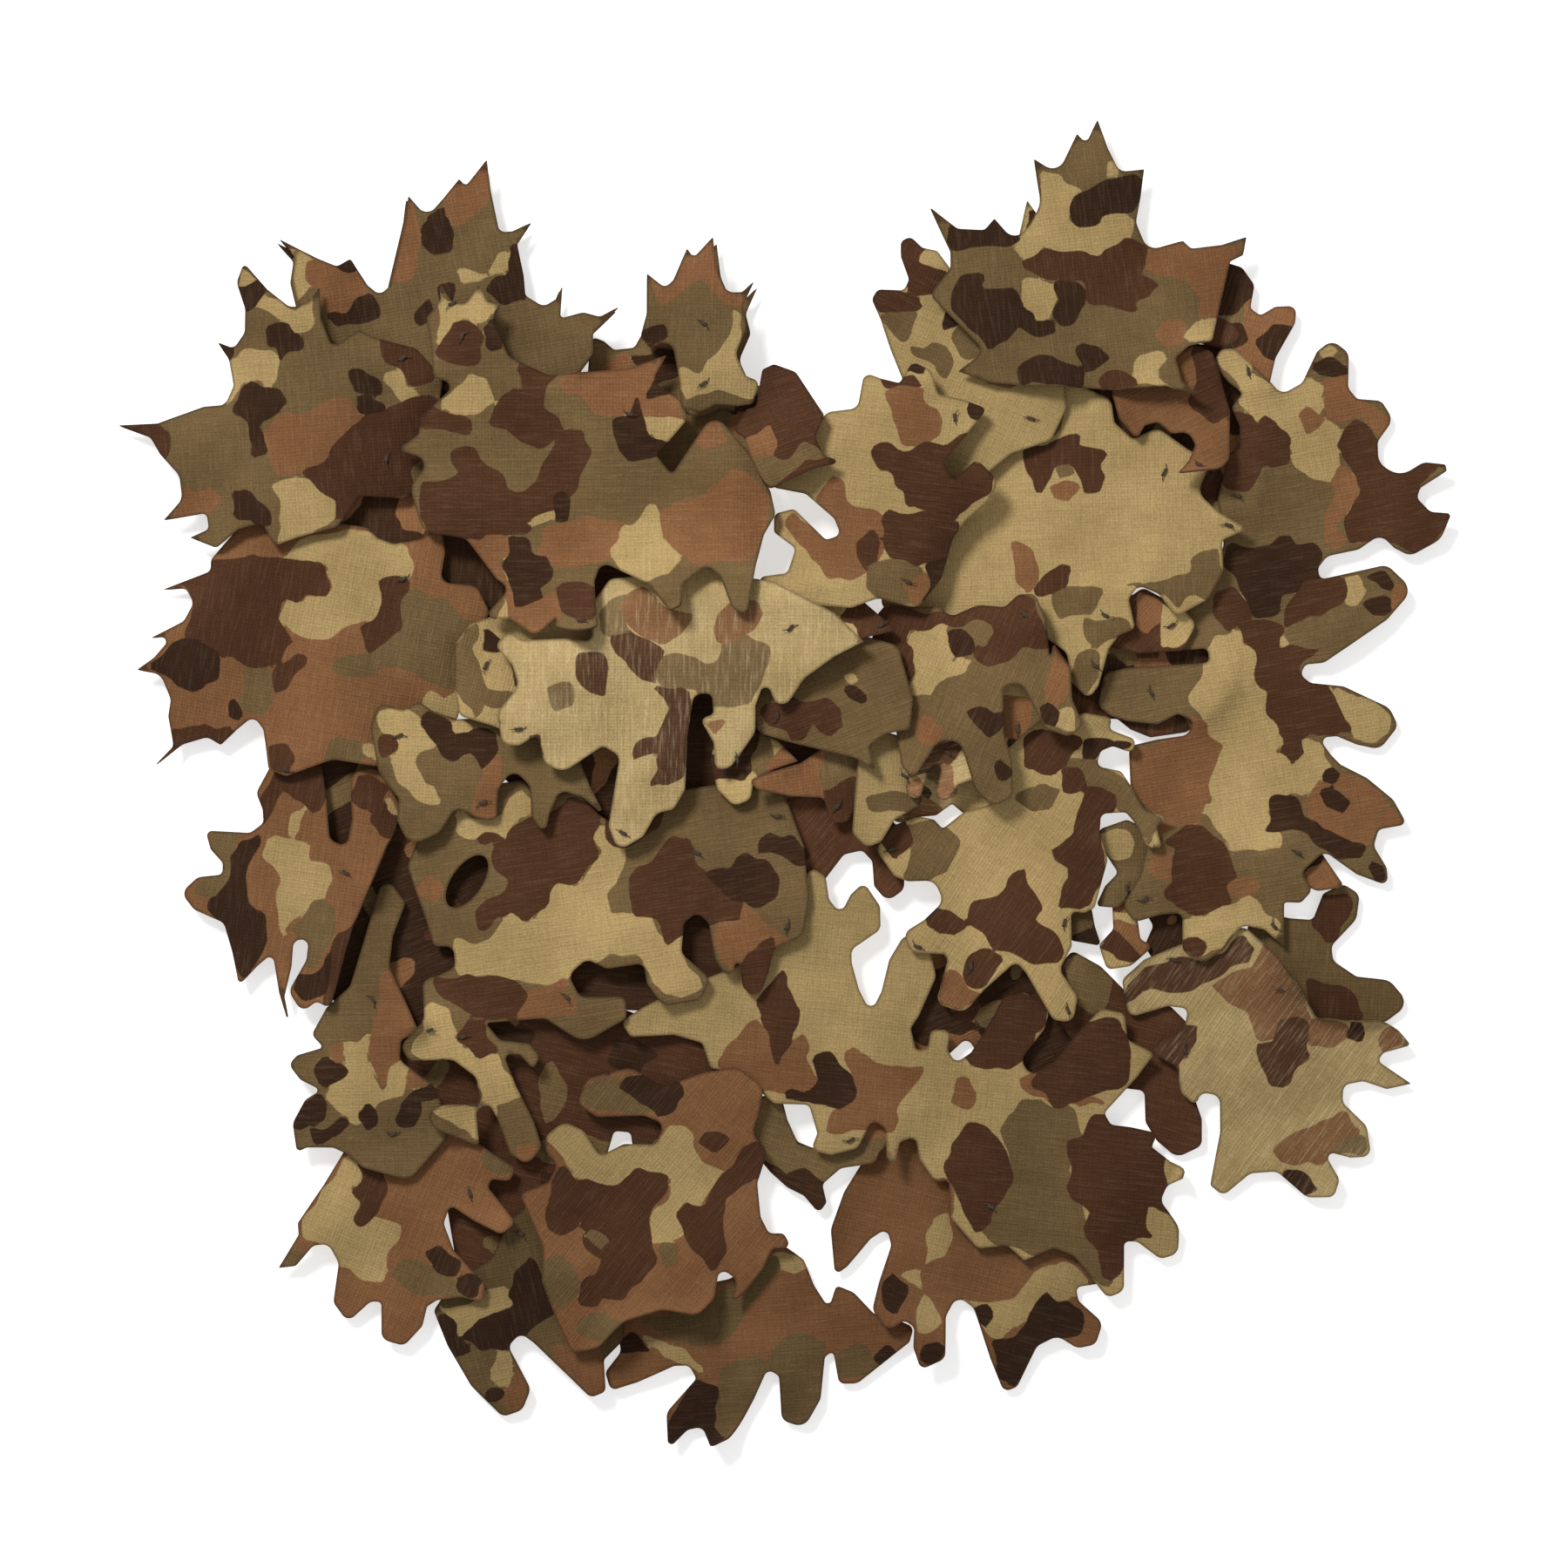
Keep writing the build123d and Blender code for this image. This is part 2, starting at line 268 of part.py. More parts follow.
        (66, -182, 3), (70, -180.5, 3), (76, -168, 4), (82, -165, 4), (88, -168.7, 4),
        (93.5, -167.5, 3), (95.7, -161, 3), (88.5, -154.7, 3), (87.7, -150.5, 1.5),
        (95, -149.5, 0.8), (85, -132, 5), (70, -116, 5), (54, -110, 5), (44, -102, 5),
        (36, -100, 4)]),
    "low_centre": (5, [
        (3, -34, 4), (8, -24, 3), (12.5, -27, 3), (13.5, -34, 3), (17, -38.3, 2.5),
        (20, -32.5, 2.5), (24, -28.8, 2), (28.8, -36, 3), (29, -43, 3), (20.2, -49, 3),
        (20.3, -53, 3), (22.5, -61, 4), (26, -68, 2.2), (29.2, -61.5, 3), (31.5, -52, 4),
        (36, -44.5, 3), (43, -46, 3), (45.6, -57, 4), (40.5, -68.7, 3), (38, -72.5, 1.5),
        (39.5, -79.3, 1.5), (43, -78.5, 1.5), (44, -73, 2), (50, -73, 2), (49, -79, 2),
        (51.5, -83, 2), (56, -80, 2), (60, -74, 3), (66, -63, 3), (72, -61.7, 4),
        (80, -66.5, 4), (78, -73, 3), (71, -82, 3), (74, -87, 3), (81, -82.5, 3), (88, -74, 4),
        (95, -66.5, 3), (102, -68, 2), (103, -76, 2), (111, -80, 1.5), (106, -87, 3),
        (96, -98, 1.5), (98, -101.5, 2), (104, -102.3, 2), (112, -104, 2), (110.3, -108.2, 0.8),
        (116, -112.7, 3), (123.2, -116, 0.25), (115, -120, 3), (113, -124.5, 3), (119, -132, 4),
        (118.3, -140.5, 3.5), (113, -142, 3), (106, -136.7, 3), (102, -136.5, 1.5),
        (102, -151.5, 3), (97, -153.5, 2.5), (87, -141, 3), (81, -138.5, 2.5),
        (72, -142.3, 0.8), (67, -137.7, 2), (58, -138.7, 3), (49.5, -129, 4), (49.5, -117.7, 3),
        (45.5, -119, 2), (40.7, -112, 2), (39.3, -105, 1.8), (34.7, -106.5, 1.8),
        (33, -113.5, 2), (30.7, -111, 1), (30.3, -102.5, 2), (26.5, -99.8, 2.5),
        (22, -108.5, 3), (14, -110.5, 3), (8, -109, 2), (10, -104, 2), (7.5, -95.5, 2),
        (-3, -95, 3), (-14, -85.5, 3), (-22, -84.7, 2), (-24.5, -77, 2), (-33, -74.5, 3),
        (-46, -75, 2), (-48.8, -70.5, 2), (-42, -66, 2), (-30, -60, 4), (-14, -54, 4),
        (-8, -44, 4)]),
    "right_low": (2, [
        (101.3, -58, 3), (108, -52, 3), (120, -47, 4), (138, -42, 5), (149, -50.3, 4),
        (155, -59, 5), (160.5, -69.6, 1.5), (179, -69.8, 3), (184.5, -73.3, 4),
        (188.2, -77.7, 0.8), (180, -80, 2), (178.2, -82.5, 2), (188.5, -89.4, 0.2),
        (181, -91, 2), (174, -88.6, 4), (168, -89.7, 2.5), (167.7, -95, 3), (175, -102, 4),
        (176.5, -111.3, 2.5), (170, -111.5, 3), (161.7, -109.3, 1.5), (166.7, -118, 3),
        (165, -123.3, 2.5), (157, -123.5, 4), (148, -115.7, 4), (140, -116.3, 4),
        (132, -123, 2.5), (128, -120, 1.5), (131, -104, 6), (130.9, -93, 3), (125, -91.8, 2.5),
        (123.6, -96, 2), (119, -92, 3), (117.7, -84, 3), (110, -80, 2), (112, -76.7, 2),
        (120, -72.7, 2), (121.3, -66.7, 1.8), (115, -66, 3), (103.5, -69.5, 2.5)]),
    "right_behind": (0, [
        (140, -37, 4), (152, -39.7, 2), (159, -40.2, 2), (162, -32.3, 2), (168, -29.3, 3),
        (173, -32.5, 3), (172, -40, 5), (164.5, -48, 3), (165, -52.5, 3), (172, -57.2, 3),
        (182, -58.3, 5), (188, -65.5, 4), (181, -70.7, 3), (165, -74, 5), (150, -74, 5),
        (138, -55, 5)]),
    "right_chip": (1, [
        (146, -20, 4), (152, -13, 3), (158, -15, 3), (168.2, -30.3, 1.2), (160, -31.5, 3),
        (150, -27, 4)]),
    "gap_tan": (1, [
        (98.6, -36, 1.5), (98.8, -43, 2), (94.3, -47.5, 1.5), (96.7, -55, 2), (104, -54, 4),
        (111, -48, 3), (107, -46, 2), (106, -39, 2), (112, -37, 2), (112, -30, 3),
        (102, -28, 3)]),
    "gap_brown": (1, [
        (82.3, -54, 3), (86.5, -49.3, 2), (95, -54, 4), (103, -62, 4), (116, -66, 5),
        (126, -76, 6), (122, -90, 5), (125.5, -100, 4), (125.5, -108, 3), (118, -111.7, 4),
        (112, -106.5, 3), (108.6, -101, 3), (108.3, -91.5, 2), (100, -90.5, 3), (92, -84, 5),
        (82, -70, 5)]),
    "crown_right_back": (0, [
        (73, 176, 0.2), (76.5, 171, 2), (84, 166, 3), (90, 150, 5), (86, 117, 5), (66, 117, 5),
        (64, 142, 4), (66, 158, 3), (70.5, 165, 2)]),
    "notch_filler": (0, [
        (-58, 135, 2), (-54, 133.5, 1.5), (-51, 131, 1.5), (-45, 131.7, 2), (-42, 137, 3),
        (-36, 142, 4), (-26, 136, 5), (-14, 118, 4), (-6, 112, 4), (-6, 98, 4), (-22, 90, 5),
        (-42, 90, 5), (-60, 110, 5)]),
    "tan_inner": (10, [
        (-94, 48.3, 3), (-98.5, 42, 4), (-98.5, 30, 4), (-97, 21, 3), (-87, 18, 3),
        (-78, 14, 5), (-66, 22, 5), (-54, 40, 5), (-54, 53, 4), (-78, 54, 4)]),
    "olive_mid": (13, [
        (-9, 24, 3), (-6, 30, 3), (4, 38, 4), (20, 46, 4), (34, 42, 4), (38.5, 26, 2),
        (37.5, 17, 1), (30, 15.5, 2), (25.3, 12, 1.5), (27.5, 4.3, 0.6), (21, 8.5, 3),
        (2, 13, 4), (-8, 16, 3)]),
    "spike_tan": (8, [
        (-20, -1, 3), (-22, 8, 3), (-20, 16, 3), (-10, 17, 3), (-2, 13.7, 3), (4.3, 7.5, 0.25),
        (-3, 5, 3), (-9, 2, 3), (-10, -4, 3), (-15, -6, 3)]),
    "rust_tongue": (9, [
        (-10.7, 1.5, 2), (-5, 4, 3), (5, 7, 4), (14, 13, 4), (26, 12, 4), (27, 3, 2),
        (22, -4, 3), (19, -11.3, 3), (13.5, -10.7, 3), (12, -3.5, 2), (2, -3, 3), (-8, -1, 2)]),
    "grey_lobe": (10, [
        (42, 6, 3), (41, -5.5, 3), (33, -10, 3), (29, -16.7, 3), (24.5, -18.3, 3),
        (20.3, -14, 3), (22, 8, 4), (28, 17, 4), (38, 14, 4)]),
    "pale_lobe": (11, [
        (36, -2, 3), (38, 8, 4), (44, 15, 4), (52, 16, 4), (57, 6, 3), (57.5, 2.5, 1.5),
        (52, 0.5, 2), (48.7, -4.7, 2.5), (45, -3, 2.5), (47.5, 6.8, 2), (43, 5, 3),
        (40.5, -4.5, 2)]),
    "under_pale": (4, [
        (36, 16, 4), (56, 16, 4), (66, 2, 4), (61, -7.5, 3), (54, -8.3, 1.5), (50.5, -5.3, 0.8),
        (45.7, -8.8, 1), (40, -9.3, 3), (32, -12, 4), (30, 4, 4)]),
    "slot_tan": (7, [
        (60, 34, 4), (78, 34, 4), (80, 22, 4), (70, 14, 3), (64.3, 8.7, 0.6), (62.7, 13, 2),
        (61, 22, 4)]),
    "knuckle": (3, [
        (-6, -18, 4), (0, -4, 4), (14, -2, 4), (27, -4, 4), (34, -12, 4), (36.3, -22, 3),
        (36, -31, 3), (31, -34.7, 3), (27, -30, 2), (26.5, -22.5, 2), (23.5, -19.3, 2),
        (18, -20.5, 3), (12.3, -28, 3), (9, -40, 4), (2, -40, 4)]),
    "gap_olive": (2, [
        (94.3, -13, 2), (103, -10, 2), (111, -14, 3), (111, -22, 3), (105, -32, 4),
        (100, -36.5, 2), (93.5, -36, 1), (96.3, -30, 2), (100.3, -26, 1.5), (95, -18, 2)]),
    "gap_chip": (0, [
        (83, -34, 3), (92, -35, 2), (93.3, -42, 2), (95.3, -48, 1), (87, -46.5, 1.5),
        (81, -44, 3)]),
    "gap_dark": (0, [
        (108, -37, 2), (122, -34, 3), (126, -48, 3), (118, -56, 3), (112, -54, 2),
        (108.3, -48, 2), (111, -42, 2)]),
    "notch_olive": (4, [
        (-13, -94, 3), (-1, -92, 2), (1, -100, 3), (4, -106.7, 2), (9, -108.7, 2),
        (16, -104, 3), (30, -99, 3), (33, -104, 3), (27, -113, 3), (17, -114.7, 3),
        (11.5, -119.5, 2), (12.8, -125, 1.5), (10.5, -128.3, 1.5), (6, -123, 3), (1, -120.5, 4),
        (-4, -116, 3), (-9, -110, 3)]),
    "under_left_top": (0, [
        (-144, 88, 5), (-138, 102, 5), (-116, 110, 5), (-104, 124, 4), (-94, 118, 5),
        (-88, 90, 5), (-80, 60, 5), (-84, 46, 4), (-112, 48, 4), (-140, 64, 5)]),
    "under_left_low": (0, [
        (-140, 10, 4), (-118, 14, 4), (-104, -6, 5), (-82, -14, 5), (-80, -42, 5),
        (-92, -60, 5), (-104, -76, 5), (-122, -76, 5), (-136, -64, 5), (-137, -36, 5),
        (-142, -16, 5)]),
    "under_centre": (2, [
        (-88, 6, 4), (-70, 22, 5), (-58, 48, 5), (-58, 67, 4), (-40, 68, 4), (-20, 44, 5),
        (14, 17, 4), (8, -4, 4), (0, -14, 5), (-12, -34, 5), (-14, -58, 4), (-34, -68, 5),
        (-68, -66, 5), (-70, -48, 5), (-56, -24, 5)]),
    "deep_brown": (3, [
        (-118, -74, 5), (-94, -66, 5), (-66, -60, 5), (-40, -70, 5), (-14, -74, 5),
        (-8, -92, 4), (-12, -110, 5), (-34, -113, 5), (-45, -112, 2), (-46, -104, 1.5),
        (-51, -103.5, 1.5), (-53.5, -112, 3), (-66, -120, 5), (-80, -146, 4), (-98, -146, 4),
        (-102, -122, 4), (-92, -104, 4), (-110, -98, 5)]),
    "under_right": (0, [
        (90, 124, 5), (118, 130, 4), (121, 133, 1.5), (132, 132.3, 2), (140, 122, 5),
        (142, 82, 5), (120, 78, 5), (94, 98, 5)]),
    "under_mid_right": (2, [
        (78, 46, 5), (130, 48, 5), (134, 28, 4), (127, 21.5, 3), (121, 16.2, 3), (110, 14.6, 2),
        (104, 17, 2), (100, 20.2, 2), (90, 20, 3), (76, 22, 4)]),
    "under_low_right": (0, [
        (34, -66, 4), (42, -48, 4), (56, -46, 4), (74, -46, 5), (88, -60, 5), (90, -80, 5),
        (72, -92, 5), (58, -80, 2), (55, -75.5, 2), (48, -82, 4), (36, -84, 4)]),
}

# A leaf that was cut double: the same cut again, one layer down and a little aside.
doubles = {
    "crown_left_double": ("crown_left", 1, -0.9, -0.9),
    "maple_top_double": ("maple_top", 1, 1.0, -1.2),
}

# Leaves that lift like a flap: no tack goes through them.
flaps = ["crown_right", "dark_curl", "low_centre_left"]

# Where a thread is tacked down through every leaf that lies there: x, y.
tacks = [
    (-106, -73), (-65, -63), (85, -67), (-2, -9), (149, -61), (120, -79), (117, -52),
    (-79, -134), (103, -31), (-94, -122), (62, -126), (20, -106), (136, 87), (110, 28),
    (147, -42), (154, -20), (108, -34), (139, 124), (116, 48), (-123, -64), (-117, -104),
    (-58, -156), (-90, -5), (-26, -20), (-96, -75), (1, -42), (32, -19), (56, -54),
    (84, -41), (40, -48), (114, 94), (96, 51), (133, 78), (70, 17), (-14, 8),
    (16, -6), (36, 3), (49, 10), (72, 51), (-2, 21),
    (29, 48), (74, 110), (37, 61), (51, 110), (-131, -26), (-114, 62), (-149, 5),
    (-115, 15), (-79, 17), (-48, -14), (2, 47), (-99, 144), (-119, 98), (-114, 128),
    (-96, 134), (-46, 111), (-60, 49), (-24, 120), (-24, 138), (124, 96), (-89, 36),
    (93, 36),
]

floor_of_band = keeper_wall + keeper_gap


def round_corner(before, here, after, radius):
    """Return the start, middle and end of the arc that rounds a corner."""
    long_in = hypot(before[0] - here[0], before[1] - here[1])
    long_out = hypot(after[0] - here[0], after[1] - here[1])
    back = ((before[0] - here[0]) / long_in, (before[1] - here[1]) / long_in)
    ahead = ((after[0] - here[0]) / long_out, (after[1] - here[1]) / long_out)
    half = acos(back[0] * ahead[0] + back[1] * ahead[1]) / 2
    trim = min(radius / tan(half), 0.49 * long_in, 0.49 * long_out)
    to_arc = trim * tan(half) * (1 / sin(half) - 1)
    middle = (back[0] + ahead[0], back[1] + ahead[1])
    middle_long = hypot(middle[0], middle[1])
    start = (here[0] + back[0] * trim, here[1] + back[1] * trim)
    end = (here[0] + ahead[0] * trim, here[1] + ahead[1] * trim)
    top = (here[0] + middle[0] / middle_long * to_arc, here[1] + middle[1] / middle_long * to_arc)
    return start, top, end


def draw_outline(corners):
    """Draw a closed outline with every corner rounded by its own radius."""
    arcs = []
    for i in range(len(corners)):
        x, y, radius = corners[i]
        after = corners[(i + 1) % len(corners)]
        arcs.append(round_corner(corners[i - 1], (x, y), after, radius))
    for i in range(len(arcs)):
        start, top, end = arcs[i]
        ThreePointArc(start, top, end)
        Line(end, arcs[(i + 1) % len(arcs)][0])


def covers(corners, x, y):
    """Tell whether a point lies inside an outline."""
    inside = False
    for i in range(len(corners)):
        ax, ay, _ = corners[i - 1]
        bx, by, _ = corners[i]
        if (ay > y) != (by > y) and x < ax + (y - ay) * (bx - ax) / (by - ay):
            inside = not inside
    return inside


# Every leaf by name: its layer and its outline.
cut = dict(leaves)
for name, (source, layer, dx, dy) in doubles.items():
    shifted = [(x + dx, y + dy, radius) for x, y, radius in leaves[source][1]]
    cut[name] = (layer, shifted)

os.makedirs("parts", exist_ok=True)

for name, (layer, corners) in cut.items():
    with BuildPart() as leaf:
        with BuildSketch(Plane.XY.offset(layer * pitch)):
            with BuildLine():
                draw_outline(corners)
            make_face()
            if name == "left_centre":
                with Locations((hole_x, hole_y)):
                    Ellipse(hole_long / 2, hole_wide / 2, rotation=hole_turn, mode=Mode.SUBTRACT)
        extrude(amount=cloth)
    leaf.part.label = name
    export_step(leaf.part, "parts/" + name + ".step")

# Head band: a flat elastic strip under the leaves, sewn down at its two ends.
with BuildPart() as head_band:
    with BuildSketch(Plane.XY.offset(floor_of_band)):
        with Locations((0, band_y)):
            Rectangle(2 * band_reach, band_wide)
    extrude(amount=band_thick)
head_band.part.label = "head_band"
export_step(head_band.part, "parts/head_band.step")

# Keeper: a flat ring that slides along the band to set its length.
inner_high = band_thick + 2 * keeper_gap
inner_wide = band_wide + 2 * keeper_gap
with BuildPart() as band_keeper:
    with BuildSketch(Plane.YZ.offset(-keeper_long / 2)):
        with Locations((band_y, floor_of_band + band_thick / 2)):
            Rectangle(inner_wide + 2 * keeper_wall, inner_high + 2 * keeper_wall)
            Rectangle(inner_wide, inner_high, mode=Mode.SUBTRACT)
    extrude(amount=keeper_long)
band_keeper.part.label = "band_keeper"
export_step(band_keeper.part, "parts/band_keeper.step")

# Tacking threads: short lengths of thread from the top of one sheet to the underside of
# the next one up, and a flat knot on the face of the topmost.
with BuildPart() as tack_threads:
    for x, y in tacks:
        stack = []
        for name, (layer, corners) in cut.items():
            if name not in flaps and covers(corners, x, y):
                stack.append((layer * pitch, layer * pitch + cloth))
        if abs(x) < band_reach and abs(y - band_y) < band_wide / 2:
            stack.append((floor_of_band, floor_of_band + band_thick))
        stack.sort()
        for lower, upper in zip(stack, stack[1:]):
            with BuildSketch(Plane.XY.offset(lower[1])):
                with Locations((x, y)):
                    Circle(thread)
            extrude(amount=upper[0] - lower[1])
        with BuildSketch(Plane.XY.offset(stack[-1][1])):
            with Locations((x, y)):
                SlotOverall(knot_long, knot_wide)
        extrude(amount=knot_high)
tack_threads.part.label = "tack_threads"
export_step(tack_threads.part, "parts/tack_threads.step")
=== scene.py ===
"""The looks of the leafy camouflage face mask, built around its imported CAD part.

Every leaf is cut from its CAD outline, draped over the leaves below it, printed with
its own camouflage patches and given a thickness, a weave, soft wrinkles and, on some,
an edge that rolls up.
"""
import json
import math
import bpy
import numpy as np
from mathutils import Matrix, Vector, geometry


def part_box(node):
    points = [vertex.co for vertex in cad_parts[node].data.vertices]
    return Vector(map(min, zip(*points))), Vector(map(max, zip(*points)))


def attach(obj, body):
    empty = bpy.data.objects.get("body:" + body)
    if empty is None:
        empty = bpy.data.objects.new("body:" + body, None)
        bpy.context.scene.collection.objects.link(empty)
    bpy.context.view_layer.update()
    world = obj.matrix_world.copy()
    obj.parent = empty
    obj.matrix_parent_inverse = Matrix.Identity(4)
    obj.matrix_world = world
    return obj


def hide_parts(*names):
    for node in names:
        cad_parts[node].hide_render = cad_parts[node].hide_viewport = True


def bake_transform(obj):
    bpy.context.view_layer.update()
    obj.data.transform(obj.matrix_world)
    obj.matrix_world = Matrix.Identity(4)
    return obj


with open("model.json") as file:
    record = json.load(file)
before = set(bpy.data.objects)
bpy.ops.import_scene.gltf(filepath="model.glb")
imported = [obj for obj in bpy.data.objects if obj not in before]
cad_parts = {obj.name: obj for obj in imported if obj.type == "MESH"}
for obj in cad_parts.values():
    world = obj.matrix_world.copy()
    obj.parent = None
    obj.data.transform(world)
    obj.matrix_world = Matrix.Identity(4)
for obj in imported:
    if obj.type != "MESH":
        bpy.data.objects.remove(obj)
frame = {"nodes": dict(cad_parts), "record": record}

MM = 0.001
CLOTH = 0.42             # thickness of the cloth, mm
GAP = 1.15               # clear height between a leaf and what it lies on, mm
STEP = 1.6               # spacing of the points of a leaf, mm
CELL = 1.0               # size of a cell of the height field, mm
HALF = 216               # the height field reaches this far from the middle, mm
SIZE = int(2 * HALF / CELL) + 1
MARGIN = 30              # cells round a leaf that its draping takes in
SPRING = 0.36            # share of the way to its CAD height that a leaf stands up
EDGE_LIFT = 3.2          # how far the edges of a leaf stand up, mm
SHORTEST_SIDE = 0.28     # shorter sides of an outline are merged, mm
TACK_APART = 3           # points of the tack mesh closer than this are one tack, mm
STITCH = 0.2             # radius of the thread in a stitch, mm
THREAD_END = 0.14        # radius of its loose ends, mm

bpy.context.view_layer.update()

# ---------------------------------------------------------------- camera
VIEW_HIGH = 1.5
VIEW_WIDE = 0.468
camera_data = bpy.data.cameras.new("camera")
camera_data.lens = camera_data.sensor_width * VIEW_HIGH / VIEW_WIDE
camera_data.clip_end = 20
camera = bpy.data.objects.new("camera", camera_data)
camera.location = (0, 0.00065, VIEW_HIGH + 0.012)
bpy.context.scene.collection.objects.link(camera)
bpy.context.scene.camera = camera

